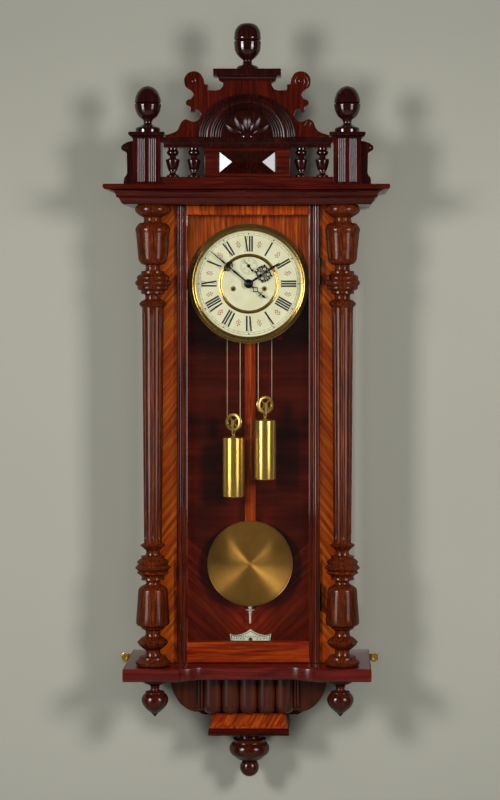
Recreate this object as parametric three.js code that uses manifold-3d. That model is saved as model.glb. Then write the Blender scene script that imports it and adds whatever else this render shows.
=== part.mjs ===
// A wall clock of the Vienna regulator kind: a glazed walnut case with turned columns and a carved crest,
// and inside it a wood-rod pendulum and a movement driven by two brass weights on pulleys.
// Millimetres, X to the right, Y towards the wall, Z up.
// The origin is on the wall plane behind the dial's centre.
import * as THREE from "three";
import { mergeVertices } from "three/addons/utils/BufferGeometryUtils.js";
import Module from "manifold-3d";

const wasm = await Module();
wasm.setup();

// Clearances and working values
const FIT = 0.3;
const RUNNING = 0.6;
const OVERRUN = 2;
const MERGE = 0.0005;
const HALF_TURN = Math.PI;
const FULL_TURN = 2 * Math.PI;
const RIGHT_ANGLE = Math.PI / 2;
const ROUND_SIDES = 12;
const FINE_SIDES = 32;
const SMALL_SIDES = 8;
const RIM_SIDES = 20;
const DIAL_SIDES = 40;

// Case
const CASE_HALF_WIDTH = 165;
const CASE_DEPTH = 135;
const BOARD = 14;
const SIDE_BOARD = 15;
const STILE_WIDTH = 41;
const STILE_THICK = 13;
const WINDOW_MARGIN = 16;
const WINDOW_BOTTOM = -560;
const WINDOW_TOP = 60;
const GLASS = 2.5;
const CASE_FRONT = -CASE_DEPTH;
const BOARD_FRONT = -BOARD;
const BOARD_SEAT = BOARD_FRONT - FIT;

// Base plank, with its swept front
const PLANK_TOP = -655;
const PLANK_THICK = 22.7;
const PLANK_END = 46.7;
const PLANK_DEPTH = 200;
const PLANK_ROUND = 3;
const PLANK_BLOCK = 96;
const PLANK_STEP = 6;
const PLANK_SWEEP = 18;
const PLANK_SWEEP_WIDTH = 46;
const PLANK_HALF_WIDTH = CASE_HALF_WIDTH + PLANK_END;
const PLANK_BOTTOM = PLANK_TOP - PLANK_THICK;

// Cornice
const CORNICE_BOTTOM = 135.3;
const CORNICE_HEIGHT = 33.5;
const CORNICE_OVERHANG = 31;
const CORNICE_END = 46.5;
const CORNICE_DEPTH = 199;
const CORNICE_HALF_WIDTH = CASE_HALF_WIDTH + CORNICE_END;
const CORNICE_TOP = CORNICE_BOTTOM + CORNICE_HEIGHT;
const CASE_TOP = CORNICE_BOTTOM - FIT;
const CASE_FOOT = PLANK_TOP + FIT;

// Columns
const COLUMN_RADIUS = 30.4;
const COLUMN_INSET = 2.5;
const CAPITAL_HEIGHT = 176.5;
const COLUMN_BASE_HEIGHT = 211;
const SHAFT_TOP_RADIUS = 18.6;
const SHAFT_BOTTOM_RADIUS = 15.4;
const FLUTES = 8;
const FLUTE_POINTS = 5;
const FLUTE_DEPTH = 2;
const COLUMN_X = CASE_HALF_WIDTH - COLUMN_INSET;
const COLUMN_Y = CASE_FRONT - RUNNING - COLUMN_RADIUS;

// Gallery on the cornice
const CREST_Y = -172;
const POST_OFFSET = 5.8;
const POST_WIDTH = 47.6;
const POST_HEIGHT = 81;
const POST_CAP_HEIGHT = 8.5;
const POST_CAP_OVERHANG = 7;
const FLUTE_WIDTH = 3.3;
const POST_FLUTE_DEPTH = 2;
const POST_FLUTE_OFFSET = 9.5;
const EAR_WIDTH = 21.5;
const EAR_THICK = 16;
const LOWER_RAIL_HEIGHT = 13.4;
const LOWER_RAIL_DEPTH = 36;
const UPPER_RAIL_HEIGHT = 18;
const UPPER_RAIL_DEPTH = 44;
const BALUSTER_RADIUS = 12;
const BALUSTER_POST_GAP = 18.7;
const BALUSTER_TABLET_GAP = 18.8;
const TABLET_HALF_WIDTH = 73.2;
const TABLET_THICK = 30;
const DIAMOND_HALF_WIDTH = 47;
const DIAMOND_HALF_HEIGHT = 17.2;
const DIAMOND_RIDGE = 26;
const DIAMOND_RISE = 13;
const DIAMOND_BORDER = 3;
const POST_TOP = CORNICE_TOP + FIT + POST_HEIGHT;
const POST_X = CASE_HALF_WIDTH + POST_OFFSET;
const RAIL_HALF_LENGTH = POST_X - POST_WIDTH / 2 - FIT;
const BALUSTER_OUTER_X = RAIL_HALF_LENGTH - BALUSTER_POST_GAP;
const BALUSTER_INNER_X = TABLET_HALF_WIDTH + BALUSTER_TABLET_GAP;
const UPPER_RAIL_TOP = POST_TOP;
const CREST_BASE = UPPER_RAIL_TOP + FIT;

// Crest: pediment board, arch, cap and finials
const PEDIMENT_HALF_WIDTH = POST_X - POST_WIDTH / 2 - POST_CAP_OVERHANG - FIT;
const PEDIMENT_HEIGHT = 97;
const PEDIMENT_THICK = 22;
const SCROLL_EYE = 9;
const SCROLL_EYE_RISE = 3;
const ARCH_HALF_WIDTH = 82.6;
const ARCH_HEIGHT = 73.6;
const ARCH_INNER_HALF_WIDTH = 43.5;
const ARCH_INNER_HEIGHT = 45;
const ARCH_RISE = 9;
const ARCH_STEPS = 14;
const FAN_PLATE = 3;
const PETALS = 7;
const PETAL_WIDTH = 8;
const PETAL_RISE = 5;
const FAN_BOSS = 9;
const CAP_HALF_WIDTH = 48.8;
const CAP_HEIGHT = 18.6;
const CAP_DEPTH = 34;
const CAP_OVERHANG = 9;
const FINIAL_RADIUS = 22.7;
const FINIAL_HEIGHT = 79.8;

// Below the plank
const DROP_INSET = 6;
const DROP_RADIUS = 23;
const DROP_HEIGHT = 64;
const LOBES = 5;
const LOBE_WIDTH = 31.2;
const LOBE_BULGE = 13;
const BEADS = 2;
const BEAD_WIDTH = 5.3;
const APRON_DEPTH = 122;
const APRON_HEIGHT = 69;
const APRON_TURN_UNDER = 17;
const FOOT_BLOCK_HALF_WIDTH = 64.8;
const FOOT_BLOCK_HEIGHT = 38;
const FOOT_BLOCK_DEPTH = 118;
const FOOT_BLOCK_OVERHANG = 5.4;
const BOTTOM_FINIAL_RADIUS = 35.1;
const BOTTOM_FINIAL_HEIGHT = 79.5;
const BOTTOM_FINIAL_Y = -75;
const WING_INSET = 23.8;
const WING_CENTRE = 43.5;
const WING_DROP = 100;
const WING_HEIGHT = 91;
const DROP_X = CASE_HALF_WIDTH - DROP_INSET;
const WING_TOP_HALF_WIDTH = CASE_HALF_WIDTH - WING_INSET;
const APRON_BOTTOM = PLANK_BOTTOM - FIT - APRON_HEIGHT;
const FOOT_BLOCK_BOTTOM = APRON_BOTTOM - FIT - FOOT_BLOCK_HEIGHT;

// Levelling screws and hanger
const LEVELLER_PLATE = 12;
const LEVELLER_REACH = 15;
const LEVELLER_Y = -34;
const LEVELLER_THICK = 8;
const LEVELLER_SCREW_RADIUS = 2.5;
const LEVELLER_HEAD_RADIUS = 6;
const LEVELLER_HEAD_THICK = 7;
const LEVELLER_SHANK = 16;
const LEVELLER_DROP = 7;
const HANGER_Z = 108;
const HANGER_HALF_WIDTH = 35;
const HANGER_HEIGHT = 34;
const HANGER_THICK = 2;
const HANGER_HOLE_RADIUS = 6;
const HANGER_SLOT = 5;
const HANGER_SLOT_RISE = 11;
const HANGER_POCKET = 8;

// Door
const DOOR_FRONT = -146;
const DOOR_THICK = 18;
const DOOR_STILE = 18.4;
const DOOR_BOTTOM_RAIL = 36;
const DOOR_TOP_RAIL = 16;
const DOOR_BEADS = 3;
const DOOR_BEAD_WIDTH = 4.2;
const DOOR_GLASS_LAP = 7;
const HINGE_RADIUS = 2.6;
const HINGE_LENGTH = 46;
const HINGE_INSET = 90;
const DOOR_HALF_WIDTH = CASE_HALF_WIDTH - STILE_WIDTH - RUNNING;
const DOOR_BOTTOM = PLANK_TOP + RUNNING + FIT;
const DOOR_TOP = CORNICE_BOTTOM - RUNNING - FIT;
const DOOR_BACK = DOOR_FRONT + DOOR_THICK;
const HINGE_X = DOOR_HALF_WIDTH + RUNNING;
const HINGE_Y = DOOR_FRONT;

// Movement
const PLATE_HALF_WIDTH = 58;
const PLATE_BOTTOM = -61.7;
const PLATE_TOP = 75;
const PLATE_THICK = 3;
const BACK_PLATE_Y = -49;
const FRONT_PLATE_Y = -96;
const PILLAR_RADIUS = 4;
const PILLAR_INSET = 8;
const ARBOR_RADIUS = 2;
const CENTRE_WHEEL_RADIUS = 23;
const CENTRE_WHEEL_TEETH = 30;
const HOUR_WHEEL_TEETH = 24;
const CENTRE_WHEEL_Y = -88;
const WHEEL_THICK = 2;
const CROSSINGS = 4;
const CROSSING_SHARE = 0.14;
const TOOTH_DEPTH = 1.6;
const HOUR_WHEEL_RADIUS = 16;
const HOUR_WHEEL_Y = -100.5;
const HOUR_PIPE_RADIUS = 4.2;
const ESCAPE_RADIUS = 17;
const ESCAPE_TEETH = 40;
const ESCAPE_TOOTH_DEPTH = 2.6;
const ESCAPE_Y = -66;
const SECONDS_Z = 31;
const SECONDS_ARBOR = 1.2;
const ANCHOR_Z = 60;
const ANCHOR_THICK = 4;
const ANCHOR_BAND = 5;
const PALLET_GAP = 1.9;
const PALLET_SPREAD = 54 * Math.PI / 180;
const CRUTCH_WIDTH = 5;
const CRUTCH_THICK = 2.4;
const CRUTCH_FOOT_Z = -18;
const CRUTCH_PIN_RADIUS = 1.4;
const SEAT_CHEEK = 11;
const SEAT_HEIGHT = 36;
const SEAT_BACK_THICK = 7;
const SEAT_FRONT_Y = -95;
const GONG_Y = -23;
const GONG_WIRE = 1.6;
const GONG_INNER = 12;
const GONG_OUTER = 46;
const GONG_TURNS = 3;
const GONG_STEPS = 36;
const GONG_Z = -6;
const GONG_BLOCK_RADIUS = 9;
const HAMMER_X = 43;
const HAMMER_Z = 62;
const HAMMER_HEAD_RADIUS = 4.5;
const HAMMER_HEAD_LENGTH = 9;
const HAMMER_GAP = 1.2;
const HAMMER_ARM = 3;

// Dial, bezel, mask and hands
const DIAL_RADIUS = 98;
const DIAL_Y = -108;
const DIAL_THICK = 1.5;
const DIAL_FOOT_RADIUS = 2.4;
const DIAL_FOOT_X = 40;
const DIAL_FOOT_TOP_Z = 44;
const DIAL_FOOT_LOW_Z = -50;
const DIAL_CENTRE_HOLE = 5.5;
const WINDING_HOLE = 4;
const BEZEL_OUTER = 104;
const BEZEL_INNER = 92;
const BEZEL_DEPTH = 10.5;
const MASK_BOTTOM = 8.7;
const MASK_THICK = 5.5;
const MASK_FRONT = -104;
const MASK_NOTCH = 75;
const HAND_THICK = 1;
const HOUR_HAND_Y = -113;
const MINUTE_HAND_Y = -116;
const SECONDS_HAND_Y = -111;
const MINUTE_HAND = 87.7;
const MINUTE_TAIL = 39.5;
const HOUR_HAND = 56;
const HOUR_TAIL = 18;
const SECONDS_HAND = 14.6;
const SECONDS_TAIL = 9;
const HAND_HUB = 5.6;
const HAND_SEGMENTS = 3;
const MINUTE_ANGLE = 310.5 * Math.PI / 180;
const HOUR_ANGLE = 55.9 * Math.PI / 180;
const SECONDS_ANGLE = 321 * Math.PI / 180;

// Weights, pulleys, drums and cables
const WEIGHT_X = 27.5;
const WEIGHT_Y = -78;
const WEIGHT_RADIUS = 19.1;
const WEIGHT_HEIGHT = 105;
const WEIGHT_ROUND = 2;
const LEFT_PULLEY_Z = -243;
const RIGHT_PULLEY_Z = -212.5;
const PULLEY_RADIUS = 15.6;
const PULLEY_LIP = 2.7;
const PULLEY_THICK = 6;
const PULLEY_HUB = 3.4;
const PULLEY_RIM = 2;
const PULLEY_SPOKES = 4;
const PULLEY_SPOKE_WIDTH = 2;
const PULLEY_YAW = 32.6 * Math.PI / 180;
const PULLEY_AXLE = 1.4;
const STIRRUP_THICK = 1.6;
const STIRRUP_WIDTH = 7;
const STIRRUP_DROP = 3;
const HOOK_HEIGHT = 6;
const HOOK_RADIUS = 2.2;
const CABLE_RADIUS = 0.65;
const CABLE_SIDES = 8;
const CABLE_BEND_STEPS = 10;
const DRUM_X = 27.1;
const DRUM_Z = -8.8;
const DRUM_LENGTH = 17;
const DRUM_BACK_Y = -57;
const DRUM_FLANGE = 1.6;
const GREAT_WHEEL_RADIUS = 24.5;
const GREAT_WHEEL_TEETH = 30;
const WINDING_SQUARE = 2.4;
const CABLE_STUD_Z = -54;
const CABLE_STUD_RADIUS = 1.6;
const PULLEY_GROOVE = PULLEY_RADIUS - PULLEY_LIP;

// Pendulum and beat scale
const PIVOT_Z = ANCHOR_Z;
const PENDULUM_Y = -34;
const ROD_WIDTH = 19.5;
const ROD_THICK = 10;
const ROD_TOP = 34;
const ROD_LAP = 5.5;
const SPRING_THICK = 1.2;
const SPRING_WIDTH = 9;
const SUSPENSION_PIN_RADIUS = 2;
const SUSPENSION_PIN_LENGTH = 18;
const SUSPENSION_RISE = 10;
const BRACKET_HALF_WIDTH = 13;
const BRACKET_HEIGHT = 28;
const BRACKET_SLOT = 5.5;
const BOB_RADIUS = 75.5;
const BOB_Z = -496;
const BOB_HALF_THICK = 14;
const NUT_RADIUS = 8;
const NUT_HEIGHT = 13;
const THREAD_RADIUS = 2;
const THREAD_TAIL = 18.2;
const BOB_BOTTOM = BOB_Z - BOB_RADIUS;
const ROD_BOTTOM = BOB_BOTTOM + ROD_LAP;
const NUT_TOP = BOB_BOTTOM - FIT;
const TIP_Z = NUT_TOP - NUT_HEIGHT - THREAD_TAIL;
const SCALE_HALF_WIDTH = 36.8;
const SCALE_TOP = -616.3;
const SCALE_HEIGHT = 30;
const SCALE_THICK = 3;
const SCALE_HOLE = 2.7;
const SCALE_HOLE_DROP = 18.3;

// Turned outlines from bottom to top: radius and height, each as a share of the piece's own
const CAPITAL_SHARES = [
  [0.61, 0], [0.72, 0.023], [0.78, 0.04], [0.66, 0.066], [0.46, 0.083], [0.46, 0.13],
  [0.67, 0.141], [0.66, 0.165], [0.85, 0.183], [0.88, 0.212], [0.97, 0.228], [1, 0.244], [0.96, 0.262],
  [0.88, 0.272], [0.91, 0.294], [0.86, 0.312], [0.67, 0.333], [0.66, 0.357], [0.44, 0.364], [0.44, 0.417],
  [0.62, 0.426], [0.78, 0.459], [0.82, 0.48], [0.95, 0.722], [0.99, 0.765], [0.86, 0.806],
  [0.76, 0.822], [0.54, 0.829], [0.52, 0.877], [0.78, 0.903], [1, 0.945], [1, 0.968], [0.86, 1],
];
const COLUMN_BASE_SHARES = [
  [0.77, 0], [0.93, 0.01], [1, 0.034], [0.79, 0.06], [0.76, 0.075], [0.47, 0.083],
  [0.43, 0.131], [0.6, 0.147], [0.76, 0.167], [0.88, 0.193], [0.72, 0.217], [0.6, 0.231], [0.45, 0.243],
  [0.44, 0.29], [0.62, 0.303], [0.7, 0.32], [0.91, 0.335], [0.95, 0.36], [0.89, 0.48], [0.83, 0.61],
  [0.79, 0.627], [0.62, 0.648], [0.41, 0.664], [0.4, 0.69], [0.67, 0.7], [0.63, 0.718],
  [0.9, 0.753], [0.82, 0.77], [1, 0.795], [0.83, 0.823], [0.9, 0.843], [0.8, 0.858], [0.63, 0.875],
  [0.67, 0.89], [0.42, 0.899], [0.4, 0.937], [0.72, 0.98], [0.5, 1],
];
const SIDE_FINIAL_SHARES = [
  [0.92, 0], [0.9, 0.09], [0.69, 0.12], [0.36, 0.165], [0.31, 0.22], [0.38, 0.27],
  [0.62, 0.32], [0.8, 0.385], [0.92, 0.46], [1, 0.57], [0.99, 0.605], [0.87, 0.617], [1, 0.635],
  [0.95, 0.73], [0.83, 0.83], [0.64, 0.91], [0.4, 0.965], [0.06, 1],
];
const TOP_FINIAL_SHARES = [
  [0.88, 0], [0.76, 0.065], [0.42, 0.1], [0.34, 0.16], [0.34, 0.2], [0.66, 0.28],
  [0.83, 0.34], [0.96, 0.42], [1, 0.52], [1, 0.605], [0.88, 0.623], [1, 0.645], [1, 0.72],
  [0.95, 0.83], [0.8, 0.91], [0.54, 0.975], [0.1, 1],
];
const DROP_SHARES = [
  [0.04, 0], [0.18, 0.06], [0.45, 0.145], [0.78, 0.26], [0.93, 0.35], [1, 0.45], [0.94, 0.54],
  [0.7, 0.64], [0.7, 0.67], [0.42, 0.69], [0.33, 0.74], [0.34, 0.8], [0.45, 0.85], [0.8, 0.9],
  [0.95, 0.95], [0.96, 1],
];
const BALUSTER_SHARES = [
  [0.86, 0], [0.86, 0.06], [0.4, 0.16], [0.42, 0.21], [0.7, 0.28], [1, 0.56], [0.93, 0.62],
  [0.45, 0.68], [0.42, 0.75], [0.84, 0.86], [0.68, 1],
];
const BOTTOM_FINIAL_SHARES = [
  [0.1, 0], [0.3, 0.025], [0.42, 0.085], [0.475, 0.175], [0.44, 0.275], [0.37, 0.335], [0.42, 0.362],
  [0.6, 0.395], [0.76, 0.455], [0.82, 0.475], [0.94, 0.525], [1, 0.6], [0.98, 0.68], [0.88, 0.745],
  [0.8, 0.77], [0.82, 0.84], [0.66, 0.86], [0.62, 0.93], [0.62, 1],
];
const NUT_SHARES = [
  [0.45, 0], [0.55, 0.25], [0.92, 0.32], [1, 0.42], [1, 0.56], [0.9, 0.66], [0.6, 0.74], [0.62, 1],
];

// Moulding outlines from bottom to top: overhang and height, each as a share of the piece's own
const CORNICE_SHARES = [
  [0, 0], [0, 0.04], [0.09, 0.12], [0.16, 0.27], [0.19, 0.31], [0.31, 0.34], [0.34, 0.46], [0.42, 0.58],
  [0.56, 0.67], [0.75, 0.72], [0.93, 0.74], [0.93, 0.79], [1, 0.81], [1, 1],
];
const FOOT_BLOCK_SHARES = [
  [1, 0], [1, 0.2], [0.8, 0.23], [0.8, 0.38], [0.35, 0.44], [0.1, 0.56], [0, 0.72], [0, 1],
];
const CAP_SHARES = [[0, 0], [0, 0.12], [0.2, 0.24], [0.3, 0.33], [1, 0.36], [1, 0.94], [0.9, 1]];
const POST_CAP_SHARES = [[0.5, 0], [1, 0.3], [1, 0.85], [0.85, 1]];

// Round outlines turned about the axis of an arbor: radius and place along the axis, each as a share
const BOB_SHARES = [
  [1, -0.12], [1, 0.14], [0.965, 0.3], [0.85, 0.52], [0.83, 0.5], [0.55, 0.78], [0.2, 0.94], [0.18, 1],
  [0, 1],
];
const BOB_BACK_SHARES = [[0, -0.85], [0.5, -0.62]];
const BEZEL_SHARES = [
  [1, 0], [1, 0.3], [0.8, 0.5], [0.7, 0.82], [0.5, 1], [0.34, 0.94], [0.22, 0.6], [0, 0.2], [0, 0],
];

// Arch section from the outer edge inwards: place across the moulding and rise, each as a share
const ARCH_SHARES = [
  [0, 0.85], [0.1, 1], [0.2, 0.75], [0.22, 0.45], [0.3, 0.45], [0.34, 0.95],
  [0.48, 0.75], [0.54, 0.35], [0.8, 0.3], [0.84, 0.7], [1, 0.65],
];

// Right half of the pediment's edge from the foot upwards: shares of its half width and of its height
const PEDIMENT_FOOT_SHARES = [
  [1, 0.035], [0.92, 0.07], [0.87, 0.105], [0.842, 0.15], [0.825, 0.21], [0.79, 0.292], [0.745, 0.315],
  [0.722, 0.3],
];
const PEDIMENT_HOOK_SHARES = [
  [0.64, 0.495], [0.652, 0.447], [0.698, 0.447], [0.702, 0.54], [0.745, 0.575], [0.752, 0.61],
  [0.735, 0.65], [0.69, 0.675], [0.662, 0.73], [0.67, 0.79], [0.735, 0.865],
];
const PEDIMENT_CUT_SHARES = [0.615, 0.393, 0.085];
const PEDIMENT_SCROLL_SHARES = [0.654, 0.987, 0.121];
const PEDIMENT_NOTCH_SHARES = [
  [0.538, 1.03], [0.525, 0.93], [0.483, 0.93], [0.483, 0.828], [0.4, 0.823], [0.335, 0.84], [0.3, 0.9],
  [0.3, 0.96], [0.335, 0.99],
];
const EAR_SHARES = [
  [0, 0.93], [0.36, 0.915], [0.7, 0.875], [0.95, 0.82], [1, 0.78], [0.95, 0.74], [0.7, 0.7],
  [0.55, 0.66], [0.52, 0.28],
  [0.6, 0.2], [0.72, 0.16], [0.8, 0.04], [0.8, 0.02], [0, 0.02],
];
const SCALE_SHARES = [
  [0.9, 0], [1, 0.72], [0.84, 0.66], [0.66, 0.64], [0.4, 0.72], [0.18, 0.84],
];

// Finishes
const walnut = finish(0x3d150b, 0.25, 0);
const veneer = finish(0x8a3d12, 0.25, 0);
const ebonised = finish(0x1d0d09, 0.2, 0);
const brass = finish(0xc59a45, 0.25, 1);
const steel = finish(0x1c1d24, 0.3, 1);
const bright = finish(0x9fa2a6, 0.3, 1);
const enamel = finish(0xe9dfc0, 0.35, 0);
const ivory = finish(0xe4ddc8, 0.4, 0);
const glass = finish(0xdfe8e6, 0.05, 0);
const rodWood = finish(0x5e2a14, 0.35, 0);

function finish(color, roughness, metalness) {
  return new THREE.MeshStandardMaterial({ color, roughness, metalness });
}

// A geometry with its shared vertices merged, and that geometry's mirror image across X = 0
function indexed(geometry) {
  const bare = geometry.clone();
  for (const name of Object.keys(bare.attributes)) {
    if (name !== "position") bare.deleteAttribute(name);
  }
  return mergeVertices(bare, MERGE);
}

function mirrored(geometry) {
  return facingOut(indexed(geometry.clone().scale(-1, 1, 1)));
}

// Booleans on closed meshes
function solidOf(geometry) {
  const merged = indexed(geometry);
  const vertProperties = merged.attributes.position.array;
  const triVerts = new Uint32Array(merged.index.array);
  return new wasm.Manifold(new wasm.Mesh({ numProp: 3, vertProperties, triVerts }));
}

function geometryOf(solid) {
  const { vertProperties, triVerts } = solid.getMesh();
  const geometry = new THREE.BufferGeometry();
  geometry.setAttribute("position", new THREE.BufferAttribute(new Float32Array(vertProperties), 3));
  geometry.setIndex(new THREE.BufferAttribute(new Uint32Array(triVerts), 1));
  geometry.computeVertexNormals();
  return geometry;
}

function join(...pieces) {
  return geometryOf(pieces.map(solidOf).reduce((whole, next) => whole.add(next)));
}

function cut(body, ...tools) {
  return geometryOf(tools.map(solidOf).reduce((rest, tool) => rest.subtract(tool), solidOf(body)));
}

// Shapes in the clock's own directions
function block(left, right, front, back, low, high) {
  const box = new THREE.BoxGeometry(right - left, back - front, high - low);
  return box.translate((left + right) / 2, (front + back) / 2, (low + high) / 2);
}

function slab(shape, low, high, curveSegments = ROUND_SIDES) {
  const settings = { depth: high - low, bevelEnabled: false, curveSegments };
  return new THREE.ExtrudeGeometry(shape, settings).translate(0, 0, low);
}

function upright(shape, front, back, curveSegments = ROUND_SIDES) {
  const settings = { depth: back - front, bevelEnabled: false, curveSegments };
  return new THREE.ExtrudeGeometry(shape, settings).rotateX(RIGHT_ANGLE).translate(0, back, 0);
}

function turned(shares, radius, height, sides = ROUND_SIDES) {
  const rim = shares.map(([across, up]) => new THREE.Vector2(across * radius, up * height));
  const bottom = new THREE.Vector2(0, rim[0].y);
  const top = new THREE.Vector2(0, rim[rim.length - 1].y);
  return new THREE.LatheGeometry([bottom, ...rim, top], sides).rotateX(RIGHT_ANGLE);
}

function pin(radius, front, back, x, z, sides = SMALL_SIDES) {
  const rod = new THREE.CylinderGeometry(radius, radius, back - front, sides);
  return rod.translate(x, (front + back) / 2, z);
}

function stem(radius, low, high, x, y, sides = SMALL_SIDES) {
  const rod = new THREE.CylinderGeometry(radius, radius, high - low, sides).rotateX(RIGHT_ANGLE);
  return rod.translate(x, y, (low + high) / 2);
}

// A closed skin through rings of equal count. Each ring is a flat outline that lift places in space.
function loft(rings, lift) {
  const count = rings[0].length;
  const positions = rings.flatMap((ring, level) => ring.flatMap((point) => lift(point, level).toArray()));
  const faces = [];
  for (let level = 1; level < rings.length; level++) {
    for (let i = 0; i < count; i++) {
      const low = (level - 1) * count;
      const high = level * count;
      const next = (i + 1) % count;
      faces.push(low + i, low + next, high + next, low + i, high + next, high + i);
    }
  }
  for (const [a, b, c] of lid(rings[0])) faces.push(c, b, a);
  const last = (rings.length - 1) * count;
  for (const [a, b, c] of lid(rings[rings.length - 1])) faces.push(last + a, last + b, last + c);
  const geometry = new THREE.BufferGeometry();
  geometry.setAttribute("position", new THREE.Float32BufferAttribute(positions, 3));
  geometry.setIndex(faces);
  return facingOut(geometry);
}

function lid(ring) {
  const leftHanded = THREE.ShapeUtils.area(ring) > 0;
  return THREE.ShapeUtils.triangulateShape([...ring], []).map(([a, b, c]) => {
    const same = THREE.ShapeUtils.area([ring[a], ring[b], ring[c]]) > 0 === leftHanded;
    return same ? [a, b, c] : [a, c, b];
  });
}

function facingOut(geometry) {
  if (solidOf(geometry).volume() < 0) {
    const index = geometry.index.array;
    for (let i = 0; i < index.length; i += 3) {
      [index[i + 1], index[i + 2]] = [index[i + 2], index[i + 1]];
    }
  }
  geometry.computeVertexNormals();
  return geometry;
}

// A board with a moulding run round its front and two ends, its back flat against the wall side
function moulded(shares, halfWidth, front, back, overhang, bottom, height) {
  const rings = shares.map(([out]) => {
    const x = halfWidth + out * overhang;
    const y = front - out * overhang;
    return [[-x, y], [x, y], [x, back], [-x, back]].map(([u, v]) => new THREE.Vector2(u, v));
  });
  const heightAt = (level) => bottom + shares[level][1] * height;
  return loft(rings, (point, level) => new THREE.Vector3(point.x, point.y, heightAt(level)));
}

// A cap with a moulding run round all four edges, centred on its own axis
function capped(shares, halfWidth, halfDepth, overhang, bottom, height) {
  const rings = shares.map(([out]) => {
    const x = halfWidth + out * overhang;
    const y = halfDepth + out * overhang;
    return [[-x, -y], [x, -y], [x, y], [-x, y]].map(([u, v]) => new THREE.Vector2(u, v));
  });
  const heightAt = (level) => bottom + shares[level][1] * height;
  return loft(rings, (point, level) => new THREE.Vector3(point.x, point.y, heightAt(level)));
}

const clock = new THREE.Group();

function add(name, geometry, material, parent = clock) {
  const mesh = new THREE.Mesh(geometry, material);
  mesh.name = name;
  parent.add(mesh);
  return mesh;
}

// Adds the right-hand copy and its mirror image on the left
function addPair(name, makeGeometry, material) {
  add(name + "_right", makeGeometry(), material);
  const left = new THREE.Group();
  left.scale.x = -1;
  clock.add(left);
  add(name + "_left", makeGeometry(), material, left);
}

// Backboard with rounded wings below the plank and a pocket for the hanger
function backboard() {
  const shape = new THREE.Shape();
  shape.moveTo(CASE_HALF_WIDTH, CASE_TOP);
  shape.lineTo(-CASE_HALF_WIDTH, CASE_TOP);
  shape.lineTo(-CASE_HALF_WIDTH, PLANK_BOTTOM);
  shape.lineTo(-WING_TOP_HALF_WIDTH, PLANK_BOTTOM);
  const reach = WING_TOP_HALF_WIDTH - WING_CENTRE;
  const end = Math.asin(WING_HEIGHT / WING_DROP);
  shape.absellipse(-WING_CENTRE, PLANK_BOTTOM, reach, WING_DROP, HALF_TURN, HALF_TURN + end, false);
  shape.lineTo(WING_CENTRE + reach * Math.cos(end), PLANK_BOTTOM - WING_HEIGHT);
  shape.absellipse(WING_CENTRE, PLANK_BOTTOM, reach, WING_DROP, -end, 0, false);
  shape.lineTo(CASE_HALF_WIDTH, PLANK_BOTTOM);
  const board = upright(shape, BOARD_FRONT, 0, SMALL_SIDES);
  const halfHeight = HANGER_HEIGHT / 2;
  const wide = HANGER_HALF_WIDTH + FIT;
  const tall = halfHeight + FIT;
  const recess = block(-wide, wide, -HANGER_THICK - FIT, OVERRUN, HANGER_Z - tall, HANGER_Z + tall);
  const narrow = HANGER_HALF_WIDTH / 2;
  const low = HANGER_Z - halfHeight;
  const pocket = block(-narrow, narrow, -HANGER_POCKET, OVERRUN, low, low + HANGER_HEIGHT);
  return cut(board, recess, pocket);
}

function hangerPlate() {
  const low = HANGER_Z - HANGER_HEIGHT / 2;
  const plate = block(-HANGER_HALF_WIDTH, HANGER_HALF_WIDTH, -HANGER_THICK, 0, low, low + HANGER_HEIGHT);
  const front = -HANGER_THICK - OVERRUN;
  const holeZ = HANGER_Z - HANGER_SLOT;
  const hole = pin(HANGER_HOLE_RADIUS, front, OVERRUN, 0, holeZ, ROUND_SIDES);
  const half = HANGER_SLOT / 2;
  const slot = block(-half, half, front, OVERRUN, holeZ, HANGER_Z + HANGER_SLOT_RISE);
  return cut(plate, hole, slot);
}

// Right side of the case: a board with a long window, and the veneered stile on its front
function caseSide() {
  const inner = CASE_HALF_WIDTH - SIDE_BOARD;
  const board = block(inner, CASE_HALF_WIDTH, CASE_FRONT, BOARD_SEAT, CASE_FOOT, CASE_TOP);
  const stileInner = CASE_HALF_WIDTH - STILE_WIDTH;
  const stileBack = CASE_FRONT + STILE_THICK;
  const stile = block(stileInner, CASE_HALF_WIDTH, CASE_FRONT, stileBack, CASE_FOOT, CASE_TOP);
  const front = stileBack + WINDOW_MARGIN / 2;
  const back = BOARD_SEAT - WINDOW_MARGIN;
  const outer = CASE_HALF_WIDTH + OVERRUN;
  const window = block(inner - OVERRUN, outer, front, back, WINDOW_BOTTOM, WINDOW_TOP);
  return cut(join(board, stile), window);
}

function sideGlass() {
  const middle = CASE_HALF_WIDTH - SIDE_BOARD / 2;
  const front = CASE_FRONT + STILE_THICK + WINDOW_MARGIN / 2 + FIT;
  const back = BOARD_SEAT - WINDOW_MARGIN - FIT;
  const left = middle - GLASS / 2;
  return block(left, left + GLASS, front, back, WINDOW_BOTTOM + FIT, WINDOW_TOP - FIT);
}

function cornice() {
  const front = -CORNICE_DEPTH;
  return moulded(
    CORNICE_SHARES, CORNICE_HALF_WIDTH, front, 0, CORNICE_OVERHANG, CORNICE_BOTTOM, CORNICE_HEIGHT,
  );
}

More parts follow.
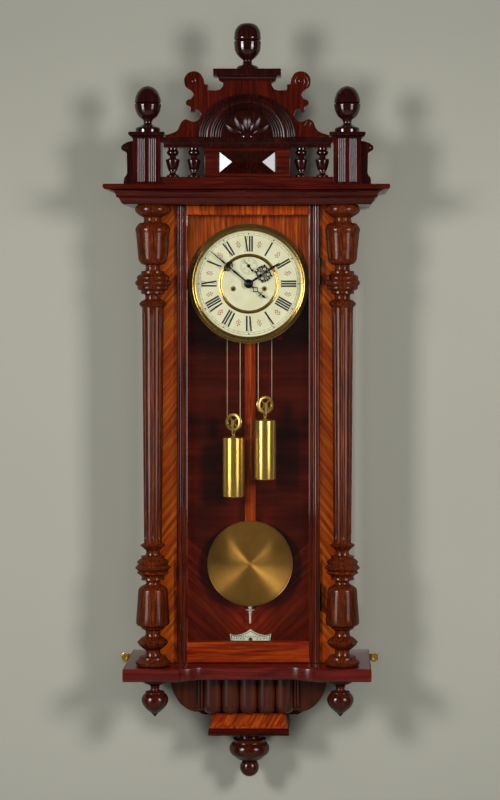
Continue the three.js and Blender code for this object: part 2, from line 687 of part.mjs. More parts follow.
// Half of the plank's front edge, from the centre to the end block
function plankOutline(inset) {
  const front = -PLANK_DEPTH + inset;
  const end = PLANK_HALF_WIDTH - inset;
  const blockEdge = PLANK_HALF_WIDTH - PLANK_BLOCK;
  const sweepEnd = blockEdge - PLANK_SWEEP_WIDTH;
  const stepped = front + PLANK_STEP;
  const swept = stepped + PLANK_SWEEP;
  const middle = (blockEdge + sweepEnd) / 2;
  const notch = CASE_HALF_WIDTH + FIT;
  const shape = new THREE.Shape();
  shape.moveTo(-end, front);
  shape.lineTo(-blockEdge, front);
  shape.lineTo(-blockEdge, stepped);
  shape.bezierCurveTo(-middle, stepped, -middle, swept, -sweepEnd, swept);
  shape.quadraticCurveTo(0, swept - PLANK_STEP, sweepEnd, swept);
  shape.bezierCurveTo(middle, swept, middle, stepped, blockEdge, stepped);
  shape.lineTo(blockEdge, front);
  shape.lineTo(end, front);
  shape.lineTo(end, 0);
  shape.lineTo(notch, 0);
  shape.lineTo(notch, BOARD_SEAT);
  shape.lineTo(-notch, BOARD_SEAT);
  shape.lineTo(-notch, 0);
  shape.lineTo(-end, 0);
  return shape.getPoints(5);
}

function plank() {
  const levels = [
    [PLANK_ROUND, PLANK_BOTTOM],
    [0, PLANK_BOTTOM + PLANK_ROUND],
    [0, PLANK_TOP - PLANK_ROUND],
    [PLANK_ROUND, PLANK_TOP],
  ];
  const rings = levels.map(([inset]) => plankOutline(inset));
  return loft(rings, (point, level) => new THREE.Vector3(point.x, point.y, levels[level][1]));
}

// Fluted shaft between a turned capital and a turned base
function column() {
  const top = CORNICE_BOTTOM - FIT;
  const shaftTop = top - CAPITAL_HEIGHT;
  const foot = PLANK_TOP + FIT;
  const shaftBottom = foot + COLUMN_BASE_HEIGHT;
  const capital = turned(CAPITAL_SHARES, COLUMN_RADIUS, CAPITAL_HEIGHT).translate(0, 0, shaftTop);
  const base = turned(COLUMN_BASE_SHARES, COLUMN_RADIUS, COLUMN_BASE_HEIGHT).translate(0, 0, foot);
  const rings = [SHAFT_BOTTOM_RADIUS, SHAFT_TOP_RADIUS].map((radius) => {
    const ring = [];
    for (let i = 0; i < FLUTES * FLUTE_POINTS; i++) {
      const angle = (i / (FLUTES * FLUTE_POINTS)) * FULL_TURN;
      const r = i % FLUTE_POINTS === 0 ? radius - FLUTE_DEPTH : radius;
      ring.push(new THREE.Vector2(r * Math.cos(angle), r * Math.sin(angle)));
    }
    return ring;
  });
  const heights = [shaftBottom - FLUTE_DEPTH, shaftTop + FLUTE_DEPTH];
  const shaft = loft(rings, (point, level) => new THREE.Vector3(point.x, point.y, heights[level]));
  return join(base, shaft, capital).translate(COLUMN_X, COLUMN_Y, 0);
}

// Corner post of the gallery with fluted front, moulded cap and scrolled ear on its outer side
function cornerPost() {
  const half = POST_WIDTH / 2;
  const bottom = CORNICE_TOP + FIT;
  const shape = new THREE.Shape();
  shape.moveTo(-half, -half);
  for (const group of [-POST_FLUTE_OFFSET, POST_FLUTE_OFFSET]) {
    for (let i = -1; i <= 1; i++) {
      const x = group + i * FLUTE_WIDTH;
      const edge = FLUTE_WIDTH * 0.4;
      shape.lineTo(x - edge, -half);
      shape.lineTo(x, -half + POST_FLUTE_DEPTH);
      shape.lineTo(x + edge, -half);
    }
  }
  shape.lineTo(half, -half);
  shape.lineTo(half, half);
  shape.lineTo(-half, half);
  const shaft = slab(shape, bottom, CREST_BASE);
  const cap = capped(POST_CAP_SHARES, half, half, POST_CAP_OVERHANG, CREST_BASE, POST_CAP_HEIGHT);
  const inner = half - FIT;
  const points = EAR_SHARES.map(
    ([out, up]) => new THREE.Vector2(inner + out * EAR_WIDTH, bottom + up * POST_HEIGHT),
  );
  const ear = upright(new THREE.Shape(points), -EAR_THICK / 2, EAR_THICK / 2);
  return join(shaft, cap, ear).translate(POST_X, CREST_Y, 0);
}

function finial(shares, x, bottom) {
  return turned(shares, FINIAL_RADIUS, FINIAL_HEIGHT).translate(x, CREST_Y, bottom);
}

// Lower rail of the gallery with its four turned balusters
function balustrade() {
  const bottom = CORNICE_TOP + FIT;
  const top = bottom + LOWER_RAIL_HEIGHT;
  const halfDepth = LOWER_RAIL_DEPTH / 2;
  const front = CREST_Y - halfDepth;
  const rail = block(-RAIL_HALF_LENGTH, RAIL_HALF_LENGTH, front, CREST_Y + halfDepth, bottom, top);
  const height = UPPER_RAIL_TOP - UPPER_RAIL_HEIGHT - FIT - top;
  const places = [-BALUSTER_OUTER_X, -BALUSTER_INNER_X, BALUSTER_INNER_X, BALUSTER_OUTER_X];
  const balusters = places.map((x) => turned(
    [[BALUSTER_SHARES[0][0], -FIT / height], ...BALUSTER_SHARES], BALUSTER_RADIUS, height, SMALL_SIDES,
  ).translate(x, CREST_Y, top));
  return join(rail, ...balusters);
}

function upperRail() {
  const middle = UPPER_RAIL_TOP - UPPER_RAIL_HEIGHT / 2;
  const low = UPPER_RAIL_TOP - UPPER_RAIL_HEIGHT;
  const strip = (depth, bottom, top) => {
    const half = depth / 2;
    return block(-RAIL_HALF_LENGTH, RAIL_HALF_LENGTH, CREST_Y - half, CREST_Y + half, bottom, top);
  };
  return join(strip(UPPER_RAIL_DEPTH, middle, UPPER_RAIL_TOP), strip(LOWER_RAIL_DEPTH, low, middle));
}

// Centre block of the gallery with a hipped tablet raised on its face
function tablet() {
  const bottom = CORNICE_TOP + FIT + LOWER_RAIL_HEIGHT + FIT;
  const top = UPPER_RAIL_TOP - UPPER_RAIL_HEIGHT - FIT;
  const front = CREST_Y - TABLET_THICK / 2;
  const body = block(-TABLET_HALF_WIDTH, TABLET_HALF_WIDTH, front, front + TABLET_THICK, bottom, top);
  const outline = (halfWidth, halfHeight) => [
    [-halfWidth, -halfHeight], [halfWidth, -halfHeight], [halfWidth, halfHeight], [-halfWidth, halfHeight],
  ].map(([x, z]) => new THREE.Vector2(x, z));
  const rings = [
    outline(DIAMOND_HALF_WIDTH, DIAMOND_HALF_HEIGHT),
    outline(DIAMOND_HALF_WIDTH, DIAMOND_HALF_HEIGHT),
    outline(DIAMOND_RIDGE, FIT),
  ];
  const rises = [front + FIT, front - DIAMOND_BORDER, front - DIAMOND_RISE];
  const middle = (bottom + top) / 2;
  const hip = loft(rings, (point, level) => new THREE.Vector3(point.x, rises[level], middle + point.y));
  return join(body, hip);
}

// Pediment board with a scroll, a hook and a rounded bay on each side and a neck under the cap
function pediment() {
  const at = ([across, up]) => new THREE.Vector2(across * PEDIMENT_HALF_WIDTH, up * PEDIMENT_HEIGHT);
  const [cutX, cutZ, cutRadius] = PEDIMENT_CUT_SHARES;
  const [scrollX, scrollZ, scrollRadius] = PEDIMENT_SCROLL_SHARES;
  const half = [...PEDIMENT_FOOT_SHARES.map(at)];
  for (let i = 0; i <= 6; i++) {
    const angle = -RIGHT_ANGLE * 0.6 - (i / 6) * HALF_TURN;
    const reach = cutRadius * PEDIMENT_HALF_WIDTH;
    const centre = at([cutX + cutRadius / 2, cutZ]);
    half.push(new THREE.Vector2(centre.x + reach * Math.cos(angle), centre.y + reach * Math.sin(angle)));
  }
  half.push(...PEDIMENT_HOOK_SHARES.map(at));
  for (let i = 0; i <= 8; i++) {
    const angle = -RIGHT_ANGLE * 0.4 + (i / 8) * HALF_TURN * 0.95;
    const reach = scrollRadius * PEDIMENT_HALF_WIDTH;
    const centre = at([scrollX, scrollZ]);
    half.push(new THREE.Vector2(centre.x + reach * Math.cos(angle), centre.y + reach * Math.sin(angle)));
  }
  half.push(...PEDIMENT_NOTCH_SHARES.map(at));
  half.push(new THREE.Vector2(CAP_HALF_WIDTH, PEDIMENT_HEIGHT));
  const foot = new THREE.Vector2(PEDIMENT_HALF_WIDTH, 0);
  const right = [foot, ...half];
  const left = [...right].reverse().map((point) => new THREE.Vector2(-point.x, point.y));
  const shape = new THREE.Shape([...right, ...left]);
  const front = CREST_Y - PEDIMENT_THICK / 2;
  const board = upright(shape, front, front + PEDIMENT_THICK);
  const eye = at([scrollX, scrollZ]);
  const eyes = [-eye.x, eye.x].map((x) => pin(SCROLL_EYE, front - SCROLL_EYE_RISE, front + FIT, x, eye.y));
  return join(board, ...eyes).translate(0, 0, CREST_BASE);
}

// Arched moulding with a fan of petals carved inside it
function archMoulding() {
  const back = CREST_Y - PEDIMENT_THICK / 2 - FIT;
  const section = ARCH_SHARES.map(([across, rise]) => new THREE.Vector2(across, rise));
  section.push(new THREE.Vector2(1, 0), new THREE.Vector2(0, 0));
  const rings = [];
  for (let i = 0; i <= ARCH_STEPS; i++) rings.push(section);
  const arch = loft(rings, (point, step) => {
    const angle = (step / ARCH_STEPS) * HALF_TURN;
    const x = THREE.MathUtils.lerp(ARCH_HALF_WIDTH, ARCH_INNER_HALF_WIDTH, point.x);
    const z = THREE.MathUtils.lerp(ARCH_HEIGHT, ARCH_INNER_HEIGHT, point.x);
    return new THREE.Vector3(x * Math.cos(angle), back - point.y * ARCH_RISE, z * Math.sin(angle));
  });
  const disc = new THREE.Shape();
  const discHalfWidth = ARCH_INNER_HALF_WIDTH + FAN_PLATE;
  disc.moveTo(discHalfWidth, 0);
  disc.absellipse(0, 0, discHalfWidth, ARCH_INNER_HEIGHT + FAN_PLATE, 0, HALF_TURN, false);
  const pieces = [arch, upright(disc, back - FAN_PLATE, back)];
  const length = (ARCH_INNER_HEIGHT - FAN_BOSS) / 2;
  for (let i = 0; i < PETALS; i++) {
    const petal = new THREE.SphereGeometry(1, 6, 4).scale(PETAL_WIDTH, PETAL_RISE, length);
    petal.translate(0, 0, FAN_BOSS + length).rotateY(-RIGHT_ANGLE + ((i + 0.5) / PETALS) * HALF_TURN);
    pieces.push(petal.translate(0, back - FAN_PLATE, 0));
  }
  pieces.push(new THREE.SphereGeometry(FAN_BOSS, SMALL_SIDES, 4).translate(0, back - FAN_PLATE, 0));
  const clear = ARCH_HEIGHT + OVERRUN;
  const below = block(-ARCH_HALF_WIDTH, ARCH_HALF_WIDTH, back - clear, back + clear, -clear, 0);
  const behind = block(-ARCH_HALF_WIDTH, ARCH_HALF_WIDTH, back, back + clear, -clear, clear);
  return cut(join(...pieces), below, behind).translate(0, 0, CREST_BASE);
}

function pedimentCap() {
  const bottom = CREST_BASE + PEDIMENT_HEIGHT + FIT;
  const overall = capped(CAP_SHARES, CAP_HALF_WIDTH, CAP_DEPTH / 2, CAP_OVERHANG, bottom, CAP_HEIGHT);
  return overall.translate(0, CREST_Y, 0);
}

// Scalloped apron under the plank: five rounded lobes between pairs of beads, turned under at the foot
function apron() {
  const lobesHalf = (LOBES * LOBE_WIDTH) / 2;
  const half = lobesHalf + BEADS * BEAD_WIDTH;
  const widths = [
    ...Array(BEADS).fill([BEAD_WIDTH, BEAD_WIDTH / 2]),
    ...Array(LOBES).fill([LOBE_WIDTH, LOBE_BULGE]),
    ...Array(BEADS).fill([BEAD_WIDTH, BEAD_WIDTH / 2]),
  ];
  const outline = (shrink) => {
    const points = [];
    let x = -half;
    for (const [width, bulge] of widths) {
      const steps = width > BEAD_WIDTH ? 6 : 3;
      for (let i = 0; i < steps; i++) {
        const angle = (i / steps) * HALF_TURN;
        const across = x + (width / 2) * (1 - Math.cos(angle));
        points.push(new THREE.Vector2(across, -APRON_DEPTH - bulge * Math.sin(angle) + shrink));
      }
      x += width;
    }
    points.push(new THREE.Vector2(half, -APRON_DEPTH + shrink));
    points.push(new THREE.Vector2(half, BOARD_SEAT), new THREE.Vector2(-half, BOARD_SEAT));
    return points;
  };
  const steps = 4;
  const rings = [];
  const heights = [];
  for (let i = 0; i <= steps; i++) {
    const angle = (i / steps) * RIGHT_ANGLE;
    rings.push(outline(APRON_TURN_UNDER * (1 - Math.sin(angle))));
    heights.push(APRON_BOTTOM + APRON_TURN_UNDER * (1 - Math.cos(angle)));
  }
  rings.push(outline(0));
  heights.push(PLANK_BOTTOM - FIT);
  return loft(rings, (point, level) => new THREE.Vector3(point.x, point.y, heights[level]));
}

function footBlock() {
  const overhang = FOOT_BLOCK_OVERHANG;
  const front = -FOOT_BLOCK_DEPTH + overhang;
  const bottom = FOOT_BLOCK_BOTTOM;
  return moulded(
    FOOT_BLOCK_SHARES, FOOT_BLOCK_HALF_WIDTH, front, BOARD_SEAT, overhang, bottom, FOOT_BLOCK_HEIGHT,
  );
}

function bottomFinial() {
  const bottom = FOOT_BLOCK_BOTTOM - FIT - BOTTOM_FINIAL_HEIGHT;
  const finialBody = turned(BOTTOM_FINIAL_SHARES, BOTTOM_FINIAL_RADIUS, BOTTOM_FINIAL_HEIGHT);
  return finialBody.translate(0, BOTTOM_FINIAL_Y, bottom);
}

function dropFinial() {
  const bottom = PLANK_BOTTOM - FIT - DROP_HEIGHT;
  return turned(DROP_SHARES, DROP_RADIUS, DROP_HEIGHT).translate(DROP_X, COLUMN_Y, bottom);
}

// Brass ear on the plank's end that carries the levelling screw
const LEVELLER_X = PLANK_HALF_WIDTH + FIT + LEVELLER_REACH / 2;
const LEVELLER_Z = PLANK_TOP - LEVELLER_DROP;

function levellerBracket() {
  const inner = PLANK_HALF_WIDTH + FIT;
  const half = LEVELLER_PLATE / 2;
  const front = LEVELLER_Y - LEVELLER_THICK / 2;
  const back = front + LEVELLER_THICK;
  const ear = block(inner, inner + LEVELLER_REACH, front, back, LEVELLER_Z - half, LEVELLER_Z + half);
  const bore = LEVELLER_SCREW_RADIUS + FIT;
  const hole = pin(bore, front - OVERRUN, back + OVERRUN, LEVELLER_X, LEVELLER_Z, ROUND_SIDES);
  return cut(ear, hole);
}

function levellerScrew() {
  const front = LEVELLER_Y - LEVELLER_SHANK;
  const point = new THREE.CylinderGeometry(0, LEVELLER_SCREW_RADIUS, LEVELLER_SCREW_RADIUS * 2, SMALL_SIDES);
  const shoulder = -LEVELLER_SCREW_RADIUS * 2;
  point.translate(LEVELLER_X, shoulder / 2, LEVELLER_Z);
  const shank = pin(LEVELLER_SCREW_RADIUS, front, shoulder, LEVELLER_X, LEVELLER_Z);
  const head = pin(
    LEVELLER_HEAD_RADIUS, front - LEVELLER_HEAD_THICK, front, LEVELLER_X, LEVELLER_Z, ROUND_SIDES,
  );
  return join(shank, head, point);
}

// Glazed door: beaded stiles, plain rails and two hinge knuckles on its right edge
function doorFrame() {
  const stile = new THREE.Shape();
  const inner = DOOR_HALF_WIDTH - DOOR_STILE;
  const beadsWidth = DOOR_BEADS * DOOR_BEAD_WIDTH;
  const beadLine = DOOR_FRONT + DOOR_BEAD_WIDTH / 2;
  stile.moveTo(DOOR_HALF_WIDTH, beadLine);
  stile.lineTo(DOOR_HALF_WIDTH, DOOR_BACK);
  stile.lineTo(inner, DOOR_BACK);
  stile.lineTo(inner, beadLine + DOOR_BEAD_WIDTH / 2);
  stile.lineTo(DOOR_HALF_WIDTH - beadsWidth, beadLine + DOOR_BEAD_WIDTH / 2);
  stile.lineTo(DOOR_HALF_WIDTH - beadsWidth, beadLine);
  for (let i = DOOR_BEADS - 1; i >= 0; i--) {
    const centre = DOOR_HALF_WIDTH - (i + 0.5) * DOOR_BEAD_WIDTH;
    stile.absarc(centre, beadLine, DOOR_BEAD_WIDTH / 2, -HALF_TURN, 0, false);
  }
  const right = slab(stile, DOOR_BOTTOM, DOOR_TOP, 2);
  const left = mirrored(right);
  const railFront = DOOR_FRONT + DOOR_BEAD_WIDTH / 2;
  const half = inner + FIT;
  const low = block(-half, half, railFront, DOOR_BACK, DOOR_BOTTOM, DOOR_BOTTOM + DOOR_BOTTOM_RAIL);
  const high = block(-half, half, railFront, DOOR_BACK, DOOR_TOP - DOOR_TOP_RAIL, DOOR_TOP);
  const knuckles = [DOOR_BOTTOM + HINGE_INSET, DOOR_TOP - HINGE_INSET - HINGE_LENGTH].map(
    (z) => stem(HINGE_RADIUS, z, z + HINGE_LENGTH, HINGE_X, HINGE_Y),
  );
  return join(right, left, low, high, ...knuckles);
}

function doorGlass() {
  const half = DOOR_HALF_WIDTH - DOOR_STILE + DOOR_GLASS_LAP;
  const front = DOOR_BACK + FIT;
  const low = DOOR_BOTTOM + DOOR_BOTTOM_RAIL - DOOR_GLASS_LAP;
  const high = DOOR_TOP - DOOR_TOP_RAIL + DOOR_GLASS_LAP;
  return block(-half, half, front, front + GLASS, low, high);
}

// Board behind the dial, notched round the movement
function dialMask() {
  const half = CASE_HALF_WIDTH - SIDE_BOARD - FIT;
  const board = block(-half, half, MASK_FRONT, MASK_FRONT + MASK_THICK, MASK_BOTTOM, CASE_TOP);
  const notch = pin(MASK_NOTCH, MASK_FRONT - OVERRUN, MASK_FRONT + MASK_THICK + OVERRUN, 0, 0, FINE_SIDES);
  return cut(board, notch);
}

function dialPlate() {
  const shape = new THREE.Shape();
  shape.absarc(0, 0, DIAL_RADIUS, 0, FULL_TURN, false);
  const plate = upright(shape, DIAL_Y, DIAL_Y + DIAL_THICK, DIAL_SIDES / 2);
  const feet = [[-DIAL_FOOT_X, DIAL_FOOT_TOP_Z], [DIAL_FOOT_X, DIAL_FOOT_TOP_Z], [0, DIAL_FOOT_LOW_Z]].map(
    ([x, z]) => pin(DIAL_FOOT_RADIUS, DIAL_Y + DIAL_THICK / 2, FRONT_PLATE_Y - FIT, x, z),
  );
  const hole = (radius, x, z) => pin(radius, DIAL_Y - OVERRUN, DIAL_Y + DIAL_THICK + OVERRUN, x, z);
  return cut(
    join(plate, ...feet),
    hole(DIAL_CENTRE_HOLE, 0, 0),
    hole(SECONDS_ARBOR + RUNNING, 0, SECONDS_Z),
    hole(WINDING_HOLE, -DRUM_X, DRUM_Z),
    hole(WINDING_HOLE, DRUM_X, DRUM_Z),
  );
}

function bezel() {
  const width = BEZEL_OUTER - BEZEL_INNER;
  const ring = BEZEL_SHARES.map(
    ([out, rise]) => new THREE.Vector2(BEZEL_INNER + out * width, -rise * BEZEL_DEPTH),
  );
  ring.push(ring[0].clone());
  return facingOut(indexed(new THREE.LatheGeometry(ring, DIAL_SIDES))).translate(0, DIAL_Y - FIT, 0);
}

// A wheel with pointed teeth and crossings, its face in the X Z plane
function wheel(radius, teeth, toothDepth, bore, front, thick) {
  const shape = new THREE.Shape();
  for (let i = 0; i < teeth; i++) {
    const angle = (i / teeth) * FULL_TURN;
    const gap = ((i + 0.5) / teeth) * FULL_TURN;
    const root = radius - toothDepth;
    if (i === 0) shape.moveTo(radius, 0);
    else shape.lineTo(radius * Math.cos(angle), radius * Math.sin(angle));
    shape.lineTo(root * Math.cos(gap), root * Math.sin(gap));
  }
  const outer = radius - toothDepth * 2.4;
  const inner = bore * 2.4;
  for (let i = 0; i < CROSSINGS; i++) {
    const start = ((i + CROSSING_SHARE) / CROSSINGS) * FULL_TURN;
    const end = ((i + 1 - CROSSING_SHARE) / CROSSINGS) * FULL_TURN;
    const crossing = new THREE.Path();
    crossing.absarc(0, 0, outer, start, end, false);
    crossing.absarc(0, 0, inner, end, start, true);
    shape.holes.push(crossing);
  }
  return upright(shape, front, front + thick, 1);
}

// Brass plates of the movement with their four pillars and the studs that hold the cables' dead ends
function movementFrame() {
  const backPlate = block(
    -PLATE_HALF_WIDTH, PLATE_HALF_WIDTH, BACK_PLATE_Y - PLATE_THICK, BACK_PLATE_Y, PLATE_BOTTOM, PLATE_TOP,
  );
  const frontPlate = block(
    -PLATE_HALF_WIDTH, PLATE_HALF_WIDTH, FRONT_PLATE_Y, FRONT_PLATE_Y + PLATE_THICK, PLATE_BOTTOM, PLATE_TOP,
  );
  const pieces = [backPlate, frontPlate];
  const x = PLATE_HALF_WIDTH - PILLAR_INSET;
  for (const z of [PLATE_BOTTOM + PILLAR_INSET, PLATE_TOP - PILLAR_INSET]) {
    for (const side of [-x, x]) {
      pieces.push(pin(PILLAR_RADIUS, FRONT_PLATE_Y + FIT, BACK_PLATE_Y - FIT, side, z));
    }
  }
  const line = deadLine();
  const studBack = line.y + CABLE_RADIUS + CABLE_STUD_RADIUS;
  for (const side of [-line.x, line.x]) {
    pieces.push(pin(CABLE_STUD_RADIUS, FRONT_PLATE_Y + FIT, studBack, side, CABLE_STUD_Z));
  }
  const through = (radius, px, pz) => pin(radius, FRONT_PLATE_Y - OVERRUN, BACK_PLATE_Y + OVERRUN, px, pz);
  return cut(
    join(...pieces),
    through(ARBOR_RADIUS + FIT, 0, 0),
    through(SECONDS_ARBOR + FIT, 0, SECONDS_Z),
    through(ARBOR_RADIUS + FIT, 0, ANCHOR_Z),
    through(WINDING_SQUARE + FIT, -DRUM_X, DRUM_Z),
    through(WINDING_SQUARE + FIT, DRUM_X, DRUM_Z),
    through(ARBOR_RADIUS + FIT, HAMMER_X, HAMMER_Z),
  );
}

// Wooden bracket on the backboard that the movement stands on
function movementSeat() {
  const top = PLATE_BOTTOM - FIT;
  const low = top - SEAT_HEIGHT;
  const backFront = BOARD_SEAT - SEAT_BACK_THICK;
  const back = block(-PLATE_HALF_WIDTH, PLATE_HALF_WIDTH, backFront, BOARD_SEAT, low, top);
  const cheek = (side) => {
    const outer = side * PLATE_HALF_WIDTH;
    const inner = side * (PLATE_HALF_WIDTH - SEAT_CHEEK);
    return block(Math.min(outer, inner), Math.max(outer, inner), SEAT_FRONT_Y, BOARD_SEAT, low, top);
  };
  return join(back, cheek(-1), cheek(1));
}

function centreArbor() {
  const arbor = pin(ARBOR_RADIUS, MINUTE_HAND_Y - 2 * ARBOR_RADIUS, BACK_PLATE_Y, 0, 0);
  const collar = pin(ARBOR_RADIUS * 3, CENTRE_WHEEL_Y, CENTRE_WHEEL_Y + WHEEL_THICK, 0, 0);
  const rim = wheel(
    CENTRE_WHEEL_RADIUS, CENTRE_WHEEL_TEETH, TOOTH_DEPTH, ARBOR_RADIUS, CENTRE_WHEEL_Y, WHEEL_THICK,
  );
  return join(arbor, collar, rim);
}

function escapeWheel() {
  const arbor = pin(SECONDS_ARBOR, SECONDS_HAND_Y - FIT, BACK_PLATE_Y, 0, 0);
  const rim = wheel(ESCAPE_RADIUS, ESCAPE_TEETH, ESCAPE_TOOTH_DEPTH, ARBOR_RADIUS, ESCAPE_Y, WHEEL_THICK);
  return join(arbor, rim).rotateY(SECONDS_ANGLE).translate(0, 0, SECONDS_Z);
}

// Anchor with two pallets over the escape wheel, its arbor, and the crutch down to the pendulum rod
function palletAnchor() {
  const reach = ESCAPE_RADIUS + PALLET_GAP;
  const tipX = reach * Math.sin(PALLET_SPREAD);
  const tipZ = SECONDS_Z + reach * Math.cos(PALLET_SPREAD);
  const arm = new THREE.Shape();
  arm.moveTo(0, ANCHOR_Z + ANCHOR_BAND);
  arm.quadraticCurveTo(tipX + ANCHOR_BAND, ANCHOR_Z, tipX + ANCHOR_BAND, tipZ + ANCHOR_BAND);
  arm.lineTo(tipX, tipZ);
  arm.lineTo(tipX - ANCHOR_BAND / 4, tipZ + ANCHOR_BAND);
  arm.quadraticCurveTo(tipX - ANCHOR_BAND, ANCHOR_Z - ANCHOR_BAND, 0, ANCHOR_Z - ANCHOR_BAND);
  const right = upright(arm, ESCAPE_Y, ESCAPE_Y + ANCHOR_THICK, 6);
  const left = mirrored(right);
  const hub = pin(ANCHOR_BAND, ESCAPE_Y, ESCAPE_Y + ANCHOR_THICK, 0, ANCHOR_Z);
  const crutchFront = BACK_PLATE_Y + RUNNING;
  const crutchBack = crutchFront + CRUTCH_THICK;
  const arbor = pin(ARBOR_RADIUS, FRONT_PLATE_Y, crutchBack, 0, ANCHOR_Z);
  const half = CRUTCH_WIDTH / 2;
  const crutch = block(-half, half, crutchFront, crutchBack, CRUTCH_FOOT_Z - half, ANCHOR_Z + half);
  const foot = pin(CRUTCH_PIN_RADIUS, crutchFront, PENDULUM_Y, 0, CRUTCH_FOOT_Z);
  return join(right, left, hub, arbor, crutch, foot);
}

function suspensionBracket() {
  const back = BOARD_SEAT;
  const front = PENDULUM_Y - SPRING_WIDTH;
  const low = PIVOT_Z - BRACKET_HEIGHT / 2;
  const top = PIVOT_Z + SUSPENSION_RISE - SUSPENSION_PIN_RADIUS - RUNNING - FIT;
  const body = block(-BRACKET_HALF_WIDTH, BRACKET_HALF_WIDTH, front, back, low, top);
  const half = BRACKET_SLOT / 2;
  const slot = block(-half, half, front - OVERRUN, PENDULUM_Y + SPRING_WIDTH, low - OVERRUN, top + OVERRUN);
  return cut(body, slot);
}

// Wood rod with its suspension spring and pin above and its threaded end below
function pendulumRod() {
  const half = ROD_WIDTH / 2;
  const deep = ROD_THICK / 2;
  const section = new THREE.Shape();
  section.absellipse(0, PENDULUM_Y, half, deep, 0, FULL_TURN, false);
  const rod = slab(section, ROD_BOTTOM, ROD_TOP, 6);
  const springHalf = SPRING_WIDTH / 2;
  const pinZ = PIVOT_Z + SUSPENSION_RISE;
  const thin = SPRING_THICK / 2;
  const springFront = PENDULUM_Y - springHalf;
  const spring = block(-thin, thin, springFront, PENDULUM_Y + springHalf, ROD_TOP - OVERRUN, pinZ);
  const cross = new THREE.CylinderGeometry(
    SUSPENSION_PIN_RADIUS, SUSPENSION_PIN_RADIUS, SUSPENSION_PIN_LENGTH, SMALL_SIDES,
  ).rotateZ(RIGHT_ANGLE).translate(0, PENDULUM_Y, pinZ);
  const thread = stem(THREAD_RADIUS, TIP_Z, ROD_BOTTOM + OVERRUN, 0, PENDULUM_Y);
  const slotHalf = CRUTCH_PIN_RADIUS + FIT;
  const slotHeight = CRUTCH_PIN_RADIUS * 5;
  const slotLow = CRUTCH_FOOT_Z - slotHeight;
  const slotHigh = CRUTCH_FOOT_Z + slotHeight;
  const slot = block(
    -slotHalf, slotHalf, PENDULUM_Y - ROD_THICK, PENDULUM_Y + ROD_THICK, slotLow, slotHigh,
  );
  return cut(join(rod, spring, cross, thread), slot);
}

// Lens-shaped bob with a channel up its back for the rod
function bob() {
  const rim = [...BOB_BACK_SHARES, ...BOB_SHARES].map(
    ([out, rise]) => new THREE.Vector2(out * BOB_RADIUS, rise * BOB_HALF_THICK),
  );
  const lens = facingOut(indexed(new THREE.LatheGeometry(rim, FINE_SIDES))).rotateX(HALF_TURN);
  lens.translate(0, PENDULUM_Y, BOB_Z);
  const half = ROD_WIDTH / 2 + FIT;
  const low = BOB_Z - BOB_RADIUS - OVERRUN;
  const high = BOB_Z + BOB_RADIUS + OVERRUN;
  const front = PENDULUM_Y - ROD_THICK / 2 - FIT;
  const back = PENDULUM_Y + BOB_HALF_THICK + OVERRUN;
  const channel = block(-half, half, front, back, low, high);
  return cut(lens, channel);
}

function ratingNut() {
  const bottom = NUT_TOP - NUT_HEIGHT;
  const nut = turned(NUT_SHARES, NUT_RADIUS, NUT_HEIGHT, SMALL_SIDES).translate(0, PENDULUM_Y, bottom);
  const bore = stem(THREAD_RADIUS + FIT, bottom - OVERRUN, NUT_TOP + OVERRUN, 0, PENDULUM_Y);
  return cut(nut, bore);
}

function beatScale() {
  const bottom = SCALE_TOP - SCALE_HEIGHT;
  const at = ([across, up]) => new THREE.Vector2(across * SCALE_HALF_WIDTH, bottom + up * SCALE_HEIGHT);
  const right = SCALE_SHARES.map(at);
  const left = [...right].reverse().map((point) => new THREE.Vector2(-point.x, point.y));
  const shape = new THREE.Shape([...right, new THREE.Vector2(0, SCALE_TOP), ...left]);
  const front = BOARD_SEAT - SCALE_THICK;
  const plate = upright(shape, front, BOARD_SEAT);
  const hole = pin(SCALE_HOLE, front - OVERRUN, BOARD_SEAT + OVERRUN, 0, SCALE_TOP - SCALE_HOLE_DROP);
  return cut(plate, hole);
}

// Where the two strands of the right-hand cable hang: the running one to the drum, the dead one to its stud
function runningLine() {
  const reach = PULLEY_GROOVE + CABLE_RADIUS + FIT;
  return { x: WEIGHT_X + reach * Math.cos(PULLEY_YAW), y: WEIGHT_Y + reach * Math.sin(PULLEY_YAW) };
}

function deadLine() {
  const reach = PULLEY_GROOVE + CABLE_RADIUS + FIT;
  return { x: WEIGHT_X - reach * Math.cos(PULLEY_YAW), y: WEIGHT_Y - reach * Math.sin(PULLEY_YAW) };
}

